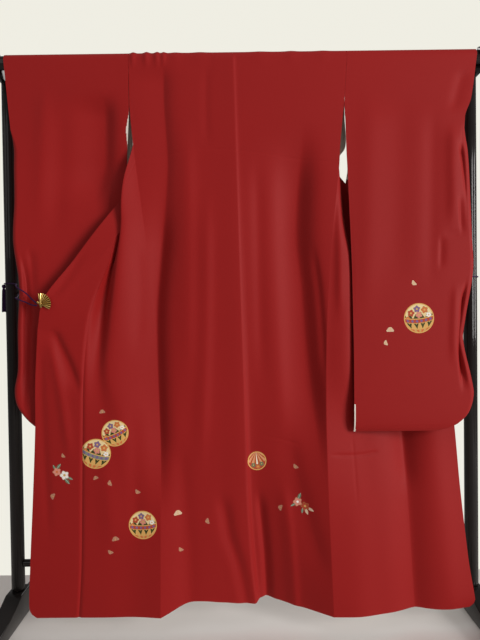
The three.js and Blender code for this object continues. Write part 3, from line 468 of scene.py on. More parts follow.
# faint lines where a tuck is sewn inside: depth, width and the (x, z) of the line, from its left end
tuckLines = [
    (0.45, 3, [(-310, 1356), (-230, 1372), (-142, 1388), (-13, 1387), (115, 1371), (200, 1358), (300, 1346)]),
    (0.8, 3.5, [(60, 562), (110, 556), (176, 536)]),
]
sleeveTuck = [(2, 3.5, [(566, 1135), (600, 1139), (656, 1147)])]
frontTuck = [(2.4, 4.5, [(236, 514), (300, 509), (345, 508), (398, 514)])]
rodWaves = [(-300, 7, 3), (-262, 8, 3.4), (-232, 7, 3.2), (-213, 6, 2.6), (-180, 14, 1.2),
            (-110, 18, 1.2), (60, 22, 1.0), (150, 16, 1.4), (240, 20, 1.1)]


def smoothly(xs, ys):
    # eases from reading to reading; the readings may run up or down
    xs, ys = np.array(xs, float), np.array(ys, float)
    if xs[0] > xs[-1]:
        xs, ys = xs[::-1], ys[::-1]
    last = len(xs) - 1
    before, after = np.maximum(np.arange(last + 1) - 1, 0), np.minimum(np.arange(last + 1) + 1, last)
    slope = (ys[after] - ys[before]) / (xs[after] - xs[before])

    def read(x):
        x = np.asarray(x, float)
        i = np.clip(np.searchsorted(xs, x, side="right") - 1, 0, last - 1)
        span = xs[i + 1] - xs[i]
        t = np.clip((x - xs[i]) / span, 0, 1)
        eased = (ys[i + 1] - ys[i]) * t * t * (3 - 2 * t)
        return ys[i] + eased + t * (1 - t) ** 2 * span * slope[i] - t * t * (1 - t) * span * slope[i + 1]
    return read


def curveThrough(points):
    points = np.array(points, float)
    ends = np.vstack([2 * points[0] - points[1], points, 2 * points[-1] - points[-2]])
    last = len(points) - 1

    def gap(a, b):
        return np.maximum(np.linalg.norm(b - a, axis=1, keepdims=True), 1e-6) ** 0.5

    def read(share):
        place = np.clip(np.atleast_1d(np.asarray(share, float)), 0, 1) * last
        i = np.minimum(place.astype(int), last - 1)
        t = (place - i)[:, None]
        a, b, c, d = (ends[i + k] for k in range(4))
        ab, bc, cd = gap(a, b), gap(b, c), gap(c, d)
        leave = ((b - a) / ab - (c - a) / (ab + bc) + (c - b) / bc) * bc
        arrive = ((c - b) / bc - (d - b) / (bc + cd) + (d - c) / cd) * bc
        square, cube = 3 * (c - b) - 2 * leave - arrive, 2 * (b - c) + leave + arrive
        return b + leave * t + square * t ** 2 + cube * t ** 3
    return read


def ease(t):
    t = np.clip(t, 0, 1)
    return t * t * (3 - 2 * t)


def fadeDown(z, name):
    start, run = fades[name]
    return ease((start - z) / run)


def spots(x, y, z):
    return np.stack(np.broadcast_arrays(x, y, z), axis=-1)


def foldDepth(entries, x, z):
    # sum of soft valleys along lines that run down the cloth; each fades in and out at its ends
    total = np.zeros(np.broadcast(x, z).shape)
    for depth, (left, right), shape, line in entries:
        xs, zs = zip(*line)
        off = x - smoothly(zs, xs)(z)
        across = off / np.where(off < 0, left, right)
        length = zs[0] - zs[-1]
        starts = ease((zs[0] - z) / (0.22 * length)) if zs[0] < overTop else 1.0
        ends = ease((z - zs[-1]) / (0.30 * length)) if zs[-1] > hem else 1.0
        total = total + depth * np.exp(-np.abs(across) ** shape) * starts * ends
    return total


def tuckDepth(entries, x, z):
    total = np.zeros(np.broadcast(x, z).shape)
    for depth, width, line in entries:
        xs, zs = zip(*line)
        across = (z - smoothly(xs, zs)(x)) / width
        total = total + depth * np.exp(-across * across) * ease((x - xs[0]) / 20) * ease((xs[-1] - x) / 20)
    return total


def waveHeight(x):
    return sum(height * np.exp(-((x - at) / width) ** 2) for at, width, height in rodWaves)


lineAt = {name: smoothly(backLines["z"], backLines[name]) for name in ("left", "centre", "right")}
hemDepth = smoothly(backHem["x"], backHem["y"])
hemLift = smoothly(backHem["x"], backHem["lift"])


def backSurface(side, share, z):
    x = lineAt[side](z) * (1 - share) + lineAt["centre"](z) * share
    hemX = lineAt[side](hem) * (1 - share) + lineAt["centre"](hem) * share
    drop = (rodHeight - z) / (rodHeight - hem)
    y = -overRod + (hemDepth(hemX) + overRod) * drop ** hemReach
    small = foldDepth(folds["back"], x, z) + foldDepth(folds["centreSeam"], x, z) + tuckDepth(tuckLines, x, z)
    y = y + np.where(small > 0, small * fadeDown(z, "underRod"), small) - waveHeight(x) * fadeDown(z, "bodyWaves")
    return spots(x, y, z + hemLift(hemX) * fadeDown(z, "hemLift"))


def rodArc(x, share):
    angle = math.pi * share
    out = overRod + waveHeight(x)
    return spots(x, -out * np.cos(angle), rodHeight + out * np.sin(angle))


def levels(low, extra):
    # heights up to the rod in steps of about a centimetre, with closer ones where a line crosses the cloth
    even = np.linspace(low, rodHeight, round((rodHeight - low) / 10) + 1)
    return np.unique(np.round(np.concatenate([even, extra]), 2))


def acrossShares(count, edges=(0.004, 0.012, 0.03)):
    # even shares with closer ones at both edges, where the cloth is sewn
    even = np.linspace(0, 1, count + 1)
    return np.unique(np.concatenate([even, edges, 1 - np.array(edges)]))


def innerEdge(side, z):
    sleeve = smoothly(sleeveTables[side]["z"], sleeveTables[side]["inner"])
    return np.where(np.asarray(z) >= seamEnd, lineAt[side](z), sleeve(z))


def farInnerEdge(side, z):
    z = np.asarray(z, float)
    below = np.where(z >= farSeamEnd, 0, np.clip((farSeamEnd - z) / farBlend, 0, 1))
    return lineAt[side](rodHeight) * (1 - below) + innerEdge(side, z) * below


def collarLines(side):
    hand, table = hands[side], collarTables[side]
    edge = curveThrough(table)
    turn = smoothly(np.linspace(0, 1, len(table)), collarTurns)

    def seam(share):
        share = np.atleast_1d(np.asarray(share, float))
        along = edge(share + 0.01) - edge(share - 0.01)
        along /= np.linalg.norm(along, axis=1, keepdims=True)
        inFront = np.stack([hand * along[:, 2], 0 * along[:, 0], -hand * along[:, 0]], axis=1)
        inFront /= np.linalg.norm(inFront, axis=1, keepdims=True)
        away = hand * np.cross(along, inFront)
        away /= np.linalg.norm(away, axis=1, keepdims=True)
        angle = np.radians(turn(share))[:, None]
        return edge(share) + collarWidth * (inFront * np.cos(angle) + away * np.sin(angle))
    return edge, seam


collarAt = {side: collarLines(side) for side in hands}


class Front:
    # one spread front, read at a row number of its table
    def __init__(self, side):
        self.side, self.table = side, frontTables[side]
        self.last = len(self.table) - 1
        shares = [row[5] for row in self.table[:collarEndRow + 1]]
        self.collarShare = smoothly(range(collarEndRow + 1), shares)
        self.corner = np.array([hands[side] * neckHalf, overRod, neckHeight], float)
        sleeve = sleeveTables[side]
        farIn = smoothly(sleeve["z"], sleeve["farIn"])
        sides = []
        for kind, at, *_ in self.table:
            if kind == "side":
                sides.append(at)
            elif kind == "joins":
                sides.append(backSurface(side, 0.0, float(at)))
            else:
                sides.append((farInnerEdge(side, at), overRod if at == neckHeight else farIn(at), at))
        self.sideLine = curveThrough([np.array(p, float).ravel() for p in sides])
        self.turnLine = curveThrough([row[2] for row in self.table])
        self.dipLine = curveThrough([row[3] for row in self.table])
        seam = collarAt[side][1]
        inner = [row[4] if row[4] else seam(row[5])[0] for row in self.table]
        self.innerLine = curveThrough(inner)
        joined = [(i, row[1]) for i, row in enumerate(self.table) if row[0] == "joins"]
        self.rowOf = smoothly([z for _, z in joined], [i for i, _ in joined])
        self.topJoined = joined[0][1]

    def collarSeam(self, row):
        return self.corner if row == 0 else collarAt[self.side][1](self.collarShare(row))[0]

    def inner(self, row):
        return self.collarSeam(row) if row <= tipRow else self.innerLine(row / self.last)[0]

    def rows(self, heights):
        hung = [(row, None) for row in np.linspace(0, joinedRow, 56)[:-1]]
        sewn = [(float(self.rowOf(z)), float(z)) for z in heights[heights <= self.topJoined + 0.01][::-1]]
        return hung + sewn


clothHeights = levels(hem, [*np.arange(1340, 1400, 3.0), *np.arange(500, 575, 4.0), 1405, 1328, 1230, 1200, 1133,
                            1120, 890, 74, 80])
fronts = {side: Front(side) for side in hands}
frontRows = {side: fronts[side].rows(clothHeights) for side in fronts}
frontFolds = {"left": (folds["frontLeft"], []), "right": (folds["frontRight"], frontTuck)}


def foldFront(side, points, fromSide):
    # the front's own folds, which start a little way in from the side seam
    x, z = points[..., 0], points[..., 2]
    deep = foldDepth(frontFolds[side][0], x, z) + tuckDepth(frontFolds[side][1], x, z)
    points = points.copy()
    points[..., 1] += deep * fromSide
    return points


def settled(points):
    # the hem hangs a little lower than its cut line
    points = points.copy()
    points[..., 2] -= hemSag * fadeDown(points[..., 2], "hemSag")
    return points


def bodyGrids(side):
    edge = float(lineAt[side](rodHeight))
    middle = float(lineAt["centre"](rodHeight))
    neck = (hands[side] * neckHalf - edge) / (middle - edge)
    shares = np.unique(np.concatenate([acrossShares(96), [neck]]))
    toNeck = int(np.argmin(abs(shares - neck))) + 1
    back = backSurface(side, shares[None, :], clothHeights[:, None])
    topX = (edge * (1 - shares) + middle * shares)[None, :]
    arc = rodArc(topX, np.linspace(0, 1, 13)[1:, None])
    fallTo = np.linspace(0, 1, 6)[1:, None]
    calm = waveHeight(topX) * (1 - fallTo)
    fall = spots(topX, overRod + calm, rodHeight + (neckHeight - rodHeight) * fallTo)
    near = np.vstack([back, arc, fall])
    line = fronts[side]
    neckRow = fall[-1, :toNeck]
    rows = []
    across = (shares[:toNeck] - shares[0]) / (shares[toNeck - 1] - shares[0])
    for row, height in frontRows[side][1:]:
        share, end = row / line.last, line.inner(row)
        start = line.sideLine(share)[0] if height is None else backSurface(side, 0.0, height).ravel()
        points = curveThrough([start, line.turnLine(share)[0], line.dipLine(share)[0], end])(across)
        points[0], points[-1] = start, end
        rows.append(foldFront(side, points, ease(across / frontFoldsFrom)))
    return settled(near), settled(np.array([neckRow, *rows]))


def overlapGrid(side):
    line, table = fronts[side], edgeTables[side]
    edgeX, edgeY = smoothly(table["z"], table["x"]), smoothly(table["z"], table["y"])
    shares = acrossShares(30, (0.008, 0.02))
    end = collarAt[side][0](1.0)[0]
    beside, below = [], []
    for row, z in frontRows[side]:
        if row < tipRow - 1e-6:
            continue
        seam = line.inner(row)
        if row <= collarEndRow + 1e-6:
            other = line.collarSeam(row)
            beside.append(seam + (other - seam) * shares[:, None])
            corner, split = other, np.linalg.norm(other - seam)
            last = beside[-1]
        else:
            free = np.array([edgeX(z), edgeY(z), z])
            if not below:
                part = split / (split + np.linalg.norm(end - corner))
                across = np.concatenate([shares * part, part + (1 - part) * shares[1:]])
                below.append(np.vstack([last, corner + (end - corner) * shares[1:, None]]))
            sag = below[0] - (below[0][0] + (below[0][-1] - below[0][0]) * across[:, None])
            kept = ease(1 - (below[0][0, 2] - z) / sagRun)
            below.append(seam + (free - seam) * across[:, None] + sag * kept)
    return [settled(foldFront(side, np.array(grid), 1.0)) for grid in (beside, below)]


def collarGrid():
    shares = np.linspace(0, 1, 15)[:, None]
    rows = {}
    for side in hands:
        line, half = fronts[side], []
        for row, z in frontRows[side]:
            if 0 < row <= collarEndRow + 1e-6:
                seam, edge = line.collarSeam(row), collarAt[side][0](line.collarShare(row))[0]
                half.append(seam + (edge - seam) * shares)
        rows[side] = foldFront(side, np.array(half), 1.0)
    middle = []
    for x in np.linspace(-neckHalf, neckHalf, 33):
        seam = np.array([x, overRod, neckHeight])
        edge = np.array([x * nape["narrow"], overRod + nape["out"], neckHeight - collarWidth])
        middle.append(seam + (edge - seam) * shares)
    return np.vstack([rows["left"][::-1], np.array(middle), rows["right"]])


def sleeveGrids(side):
    table, hand = sleeveTables[side], hands[side]
    read = {name: smoothly(table["z"], table[name]) for name in table if name != "z"}
    low, mouth = table["z"][-1], mouthEnd[side]
    heights = levels(low, [low + 2, low + 5, mouth, mouth + 4, *table["z"][-4:]])
    shares = acrossShares(110)
    innerX = innerEdge(side, heights) + hand * wall["seam"]
    farX = farInnerEdge(side, heights) + hand * np.where(heights > farSeamEnd - farBlend, farGap, wall["seam"])
    farX = np.where(heights >= rodHeight, innerX, farX)
    if side == "right":  # its inner edge makes room for the front that passes
        more = 1 + sleeveRoom["more"] * fadeDown(heights, "notAtFold")
        farX = farX + sleeveRoom["pastFront"] * fadeDown(heights, "pastFront") * more
        more = fadeDown(heights, "overFront")
        farX = farX + sleeveRoom["pastCollar"] * fadeDown(heights, "pastCollar") * more
    near, far = ([read[name + end](heights) for end in ("In", "Out")] for name in ("near", "far"))
    half = np.maximum((far[1] - near[1]) / 2, 0.0)
    inset = half * ease((mouth - heights) / sleeveEdge["mouth"])
    outerX = read["outer"](heights) - hand * inset
    fade = ease(np.minimum(shares, 1 - shares) / sleeveEdge["share"])[None, :]
    fade = fade * ease((heights - low) / sleeveEdge["bottom"])[:, None]

    def layer(start, y, name, towards):
        x = start[:, None] * (1 - shares) + outerX[:, None] * shares
        depth = y[0][:, None] * (1 - shares) + y[1][:, None] * shares
        z = np.broadcast_to(heights[:, None], x.shape)
        small = foldDepth(folds[name], x, z) + (tuckDepth(sleeveTuck, x, z) if name == "right" else 0)
        waves = waveHeight(x) * 0.5 * fadeDown(z, "sleeveWaves")
        return spots(x, depth + towards * (small * fadeDown(z, "underRod") * fade - waves), z)
    nearLayer = layer(innerX, near, side, 1)
    farLayer = layer(farX, far, "far" + side.capitalize(), -1)[:, ::-1]
    angle = math.pi * np.linspace(0, 1, 8)[None, :]
    middle = (nearLayer[:, -1, 1] + farLayer[:, 0, 1])[:, None] / 2
    bend = spots(outerX[:, None] + hand * inset[:, None] * np.sin(angle),
                 middle - half[:, None] * np.cos(angle), heights[:, None])
    across = innerX[-1] * (1 - shares) + outerX[-1] * shares
    angle = math.pi * np.linspace(0, 1, 13)[:, None]
    out = overRod + waveHeight(across)[None, :] * 0.5
    top = spots(across[None, :], -out * np.cos(angle), rodHeight + out * np.sin(angle))
    return nearLayer, farLayer, bend[heights < mouth + 1e-6], top


def choose(*pieces):
    # selects these alone, with the first one active
    bpy.ops.object.select_all(action="DESELECT")
    for piece in pieces:
        piece.select_set(True)
    bpy.context.view_layer.objects.active = pieces[0]


@contextlib.contextmanager
def wholeMesh():
    # what is done inside is done in edit mode, at first to the whole mesh
    bpy.ops.object.mode_set(mode="EDIT")
    bpy.ops.mesh.select_all(action="SELECT")
    yield
    bpy.ops.object.mode_set(mode="OBJECT")


def settle(piece):
    # a piece's name is that of its node, then what it is made of
    node, stuff = piece.name.rsplit("_", 1)
    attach(piece, "root")
    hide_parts(node)


def weave(name, grids, outside, thick=wall["cloth"], inside=lining, flip=False, turnedIn=None, rolledOut=None):
    # grids: arrays of points with how far each one's pattern is shifted; they join where they share points
    coords, faces, patterns = [], [], []
    for grid, shift in grids:
        rows, columns = grid.shape[:2]
        start = len(coords)
        coords.extend(map(tuple, grid.reshape(-1, 3) * mm))
        for r in range(rows - 1):
            for c in range(columns - 1):
                a = start + r * columns + c
                face = (a, a + 1, a + columns + 1, a + columns)
                faces.append(face[::-1] if flip else face)
                patterns.append([(coords[i][0] + shift, coords[i][2]) for i in faces[-1]])
    mesh = bpy.data.meshes.new(name)
    mesh.from_pydata(coords, [], faces)
    layer = mesh.uv_layers.new(name="cloth")
    layer.data.foreach_set("uv", [v for face in patterns for uv in face for v in uv])
    piece = bpy.data.objects.new(name, mesh)
    scene.collection.objects.link(piece)
    choose(piece)
    with wholeMesh():
        bpy.ops.mesh.remove_doubles(threshold=2e-5)
        bpy.ops.mesh.dissolve_degenerate(threshold=1e-6)
    for material in filter(None, (outside, inside)):
        mesh.materials.append(material)
    shell = piece.modifiers.new("thickness", "SOLIDIFY")
    shell.thickness, shell.offset, shell.use_even_offset = thick * mm, 0, False
    shell.material_offset, shell.use_rim = len(mesh.materials) - 1, True
    bpy.ops.object.modifier_apply(modifier="thickness")
    for face in mesh.polygons:
        x, y, z = face.center / mm
        if turnedIn and face.material_index and turnedIn(x, z):
            face.material_index = 0  # the crepe is turned in along its free edges
        if rolledOut and y < -5 and rolledOut(x, z):
            face.material_index = 1  # the lining rolls out a little
    bpy.ops.object.shade_smooth_by_angle(angle=math.radians(50))
    piece.select_set(False)
    return piece


motifs = {
    "migoroLeft": {
        "petals": [((-0.400, 0.647), 0.0085, 0.1, "beige"), ((-0.380, 0.445), 0.0085, 1.9, "beige"),
                   ((-0.304, 0.416), 0.0085, 2.6, "beige"), ((-0.191, 0.349), 0.0115, 0.1, "paleBeige"),
                   ((-0.368, 0.283), 0.0105, 0.2, "beige"), ((-0.383, 0.246), 0.0085, 2.7, "beige"),
                   ((-0.184, 0.244), 0.008, 2.5, "beige"), ((-0.106, 0.322), 0.009, 1.8, "beige"),
                   ((-0.420, 0.460), 0.008, 0.4, "beige")],
        "balls": [{"at": (-0.365, 0.586), "radius": 0.0376, "turn": 0.42, "tint": 0},
                  {"at": (-0.419, 0.529), "radius": 0.0424, "turn": -0.30, "tint": 1},
                  {"at": (-0.290, 0.321), "radius": 0.0403, "turn": 0.06, "tint": 0}],
    },
    "migoroRight": {
        "petals": [((0.151, 0.477), 0.0085, 2.5, "beige"), ((0.106, 0.357), 0.009, 1.3, "beige")],
        "striped": {"at": (0.039, 0.492), "radius": 0.0275, "turn": 0.1},
        "spray": ([((0.155, 0.375), 0.0135, "pink", "white"), ((0.176, 0.364), 0.0125, "scarlet", "gold")],
                  [((0.160, 0.391), 0.011, 1.2, "leaf"), ((0.142, 0.366), 0.008, 3.6, "leaf"),
                   ((0.180, 0.349), 0.010, -1.2, "paleBeige"), ((0.191, 0.356), 0.010, -0.5, "paleBeige"),
                   ((0.168, 0.350), 0.008, -1.7, "leaf")]),
    },
    "okumiLeft": {
        "petals": [((-0.542, 0.410), 0.0095, 1.2, "beige"), ((-0.510, 0.526), 0.007, 2.2, "beige")],
        "spray": ([((-0.529, 0.480), 0.0125, "pink", "orange"), ((-0.508, 0.470), 0.0135, "white", "paleGold")],
                  [((-0.524, 0.495), 0.010, 0.9, "leaf"), ((-0.536, 0.493), 0.008, 2.0, "leaf"),
                   ((-0.501, 0.453), 0.011, -0.9, "leaf"), ((-0.493, 0.461), 0.009, -0.4, "leaf")]),
    },
    "sodeRight": {
        "petals": [((0.490, 1.002), 0.0085, 2.3, "paleBeige"), ((0.421, 0.869), 0.011, 0.0, "paleBeige"),
                   ((0.409, 0.833), 0.008, 1.9, "paleBeige")],
        "balls": [{"at": (0.503, 0.902), "radius": 0.0426, "turn": 0.10, "tint": 0}],
    },
}
plain = silkCrepe("silkPlain")
dyed = {name: silkCrepe("silk_" + name, entries) for name, entries in motifs.items()}
print("silks dyed")

hidden = 3.0  # pattern shift of the far layers, which are plain
flats = {"migoro": (0.315, 3.34), "okumi": (0.165, 1.42), "eri": (0.056, 2.05), "sode": (0.375, 2.24)}
# along a sleeve's free edges the crepe is turned in, and in places the lining rolls out
turnIn = {"inner": 34, "innerTop": {"left": 1255, "right": 1312}, "outer": 24, "pastMouth": 30}
rollOut = {"right": 4.5, "rightTop": 655, "left": 3, "leftTop": 1516,
           "swells": [(6, 1452, 30, 2), (4.2, 1305, 42, 4)]}
spreadBelow = 1060  # here the front comes out of hiding, and its pattern begins
clothPieces = []
for side in hands:
    key = side.capitalize()
    near, front = bodyGrids(side)
    backRows = len(clothHeights)
    hung = len([row for row, z in frontRows[side] if z is None or z > spreadBelow])
    grids = [(near[:backRows], 0), (near[backRows - 1:], hidden), (front[:hung], hidden), (front[hung - 1:], 0)]
    clothPieces.append(weave("migoro_" + side + "_silk", grids, dyed["migoro" + key], flip=side == "right"))
    grids = [(grid, 0) for grid in overlapGrid(side)]
    clothPieces.append(weave("okumi_" + side + "_silk", grids, dyed.get("okumi" + key, plain),
                             flip=side == "right"))
    print(side, "body and overlap woven")
    grids = list(zip(sleeveGrids(side), (0, hidden, 0, hidden)))
    table = sleeveTables[side]
    innerAt, outerAt = smoothly(table["z"], table["inner"]), smoothly(table["z"], table["outer"])

    def turnedIn(x, z):
        edge = abs(x - innerAt(z)) < turnIn["inner"] and z < turnIn["innerTop"][side]
        return edge or (abs(x - outerAt(z)) < turnIn["outer"] and z > mouthEnd[side] - turnIn["pastMouth"])

    def rolledOut(x, z):
        if side == "right":
            return x < innerAt(z) + rollOut["right"] and z < rollOut["rightTop"]
        width = sum(most * math.exp(-((z - at) / reach) ** power)
                    for most, at, reach, power in rollOut["swells"])
        return innerAt(z) - width < x < innerAt(z) + rollOut["left"] and z < rollOut["leftTop"]
    clothPieces.append(weave("sode_" + side + "_silk", grids, dyed.get("sode" + key, plain), flip=side == "left",
                             turnedIn=turnedIn, rolledOut=rolledOut))
    print(side, "sleeve woven")
clothPieces.append(weave("eri_silk", [(collarGrid(), hidden)], plain, thick=wall["collar"], inside=None))
for piece in clothPieces:
    kind = piece.name.split("_")[0]
    settle(piece)
    width, length = flats[kind]
print("cloth made")


# ---- stand
def blackLacquer():
    paint = Paint("blackLacquer")
    ripple = paint.noise(14, 2.0)
    specks = paint.noise(900, 1.0)
    colour = paint.mix(ripple, (0.010, 0.008, 0.0075), (0.016, 0.013, 0.012))
    paint.set(Base_Color=colour, Roughness=ripple * 0.05 + 0.08, Coat_Weight=0.3, Coat_Roughness=0.03,
              Specular_IOR_Level=0.15)
    paint.bump(ripple * 0.9 + specks * 0.1, 0.02, 0.0004)
    return paint.material


lacquer = blackLacquer()
standSizes = {
    "rod": {"radius": 0.018, "half": 0.760, "y": 0, "height": 1.650, "soft": 0.004, "sides": 72},
    "post": {"x": 0.700, "y": 0.080, "radius": 0.019, "low": 0.0783, "top": 1.666, "soft": 0.005},
    "foot": {"width": 0.050, "half": 0.240, "end": 0.030, "post": 0.078, "shoulder": 0.032, "cuts": 41,
             "soft": 0.003},
    "lower_rail": {"radius": 0.011, "half": 0.6807, "y": 0.080, "height": 0.160, "soft": 0.001, "sides": 40},
    "bracket": {"width": 0.026, "wall": 0.009, "armWidth": 0.0208, "armHigh": 0.032, "seat": 0.0183,
                "sunk": 0.001, "soft": 0.0015},
}


def startPiece(name, scale=(1, 1, 1)):
    # names and scales what has just been added
    piece = bpy.context.object
    piece.name = piece.data.name = name
    piece.scale = scale
    bpy.ops.object.transform_apply(location=True, rotation=True, scale=True)
    return piece


def finishPiece(piece, material):
    choose(piece)
    bpy.ops.object.transform_apply(location=True, rotation=True, scale=True)
    bpy.ops.object.shade_smooth_by_angle(angle=math.radians(35))
    piece.data.materials.clear()
    piece.data.materials.append(material)
    settle(piece)
    piece.select_set(False)


def softEdges(piece, width, segments):
    choose(piece)
    edges = piece.modifiers.new("soft edges", "BEVEL")
    edges.width, edges.segments = width, segments
    edges.limit_method, edges.angle_limit = "ANGLE", math.radians(40)
    bpy.ops.object.modifier_apply(modifier="soft edges")
    return piece


def roundBar(name, size, length, place, turn=(0, 0, 0), sides=72):
    # a turned bar with rounded ends
    bpy.ops.mesh.primitive_cylinder_add(vertices=sides, radius=size["radius"], depth=length, location=place)
    bar = bpy.context.object
    bar.name = bar.data.name = name
    bar.rotation_euler = turn
    with wholeMesh():
        bpy.ops.mesh.select_all(action="DESELECT")
    for edge in bar.data.edges:
        a, b = (bar.data.vertices[i].co for i in edge.vertices)
        edge.select = abs(abs(a.z) - length / 2) < 1e-6 and abs(a.z - b.z) < 1e-6
    bpy.ops.object.mode_set(mode="EDIT")
    bpy.ops.mesh.bevel(offset=size["soft"], segments=4, affect="EDGES")
    bpy.ops.object.mode_set(mode="OBJECT")
    return bar


def footBeam(name, hand):
    size, centre = standSizes["foot"], standSizes["post"]
    bpy.ops.mesh.primitive_cube_add(size=1, location=(0, 0, size["end"] / 2))
    beam = startPiece(name, (size["width"], 2 * size["half"], size["end"]))
    cuts = [*np.linspace(-size["half"], size["half"], size["cuts"])[1:-1],
            centre["y"] - size["shoulder"], centre["y"] + size["shoulder"]]
    with wholeMesh():
        for y in cuts:
            bpy.ops.mesh.select_all(action="SELECT")
            bpy.ops.mesh.bisect(plane_co=(0, float(y), 0), plane_no=(0, 1, 0))
    rise = size["post"] - size["end"]
    for vertex in beam.data.vertices:
        if vertex.co.z > size["end"] / 2:
            past = abs(vertex.co.y - centre["y"]) - size["shoulder"]
            reach = size["half"] - size["shoulder"] - math.copysign(centre["y"], vertex.co.y - centre["y"])
            t = min(max(past / reach, 0), 1)
            vertex.co.z = size["end"] + rise * (1 - t) ** 3 if past > 0 else size["post"]
    beam.location = (hand * centre["x"], 0, 0)
    return softEdges(beam, size["soft"], 3)


def rodBracket(name, hand):
    # a hook of the post: half a ring spun under the rod, then an arm back to the post
    size, centre, height = standSizes["bracket"], standSizes["post"], standSizes["rod"]["height"]
    seat, wallThick = size["seat"], size["wall"]
    x = hand * centre["x"]
    bpy.ops.mesh.primitive_plane_add(size=1, location=(x, -(seat + wallThick / 2), height))
    hook = startPiece(name, (size["width"], wallThick, 1))
    with wholeMesh():
        bpy.ops.mesh.spin(steps=24, angle=math.pi, center=(x, 0, height), axis=(1, 0, 0))
        bpy.ops.mesh.select_all(action="SELECT")
        bpy.ops.mesh.remove_doubles(threshold=1e-5)
        bpy.ops.mesh.normals_make_consistent(inside=False)
    front, back = seat - size["sunk"], centre["y"] - centre["radius"] + size["sunk"]
    bpy.ops.mesh.primitive_cube_add(size=1, location=(x, (front + back) / 2, height - size["armHigh"] / 2))
    arm = startPiece(name + "_arm", (size["armWidth"], back - front, size["armHigh"]))
    choose(hook, arm)
    bpy.ops.object.join()
    return softEdges(hook, size["soft"], 2)


for node in ("rod", "lower_rail"):
    size = standSizes[node]
    place = (0, size["y"], size["height"])
    bar = roundBar(node + "_lacquer", size, 2 * size["half"], place, (0, math.pi / 2, 0), size["sides"])
    finishPiece(bar, lacquer)
for side, hand in hands.items():
    size = standSizes["post"]
    length = size["top"] - size["low"]
    place = (hand * size["x"], size["y"], size["low"] + length / 2)
    finishPiece(roundBar("post_" + side + "_lacquer", size, length, place), lacquer)
    finishPiece(footBeam("foot_" + side + "_lacquer", hand), lacquer)
    finishPiece(rodBracket("bracket_" + side + "_lacquer", hand), lacquer)
print("stand made")


# ---- clips, cords and tassels
def purpleBraid():
    paint = Paint("purpleBraid")
    x, y, z = paint.axes(paint.place())
    one = ((x + z) * 2600).maths("SINE")
    other = ((y + z) * 2600).maths("SINE")
    plait = one.maths("MAXIMUM", other)
    colour = paint.mix(plait * 0.5 + 0.5, (0.010, 0.002, 0.020), (0.036, 0.006, 0.062))
    paint.set(Base_Color=colour, Roughness=plait * 0.08 + 0.68, Specular_IOR_Level=0.25)
    paint.bump(plait, 0.5, 0.0006)
    return paint.material


fan = {"radius": 0.0295, "root": 0.12, "pleats": 9, "from": -25, "to": 95, "zigzag": 0.0016, "notch": 0.0016,
       "inFront": 0.0024, "thick": 0.0009, "handle": 0.011, "stickWidth": (0.0030, 0.0022),
       "stickDepth": (0.0029, 0.0006), "pin": 0.0031,
       # the jaw behind the collar, and the bridge that carries it
       "jaws": [((-0.022, 0.0058, -0.005), (0.005, 0.0083, 0.005)),
                ((0, -0.0005, -0.005), (0.005, 0.0083, 0.005))]}
clipAt = {"left": (-0.556, -0.064, 0.956), "right": (0.571, 0.0352, 0.962)}


def giltMetal():
    paint = Paint("giltMetal")
    wear = paint.noise(160, 3.0)
    x, y, z = paint.axes(paint.place())
    right = x > 0
    # angle about the pin, so that the grooves between the pleats get painted shade: a dark brown colour that
    # stands in for the shade in them
    across = right * (clipAt["right"][0] + clipAt["left"][0]) - x.size() - clipAt["left"][0]
    upward = z - right * (clipAt["right"][2] - clipAt["left"][2]) - clipAt["left"][2]
    perPleat = math.radians(fan["to"] - fan["from"]) / fan["pleats"]
    share = (upward.maths("ARCTAN2", across) - math.radians(fan["from"])) * (1 / perPleat)
    paintedGrooveShade = saw(share) > 0.28
    colour = paint.mix(wear, (0.95, 0.70, 0.27), (0.78, 0.50, 0.13))
    # painted shade: the grooves between the pleats are coloured dark brown, as if shaded
    colour = paint.mix(paintedGrooveShade, colour, (0.20, 0.08, 0.008))
    paint.set(Base_Color=colour, Metallic=1.0, Roughness=wear * 0.2 + 0.2)
    paint.bump(paint.noise(420, 2.0), 0.15, 0.0004)
    return paint.material


gilt, braid = giltMetal(), purpleBraid()


def smallBlock(name, corner, soft, segments):
    # a soft-edged cube whose corners go where a rule puts them
    bpy.ops.mesh.primitive_cube_add(size=1)
    block = startPiece(name)
    for vertex in block.data.vertices:
        vertex.co = corner(*(part > 0 for part in vertex.co))
    return softEdges(block, soft, segments)


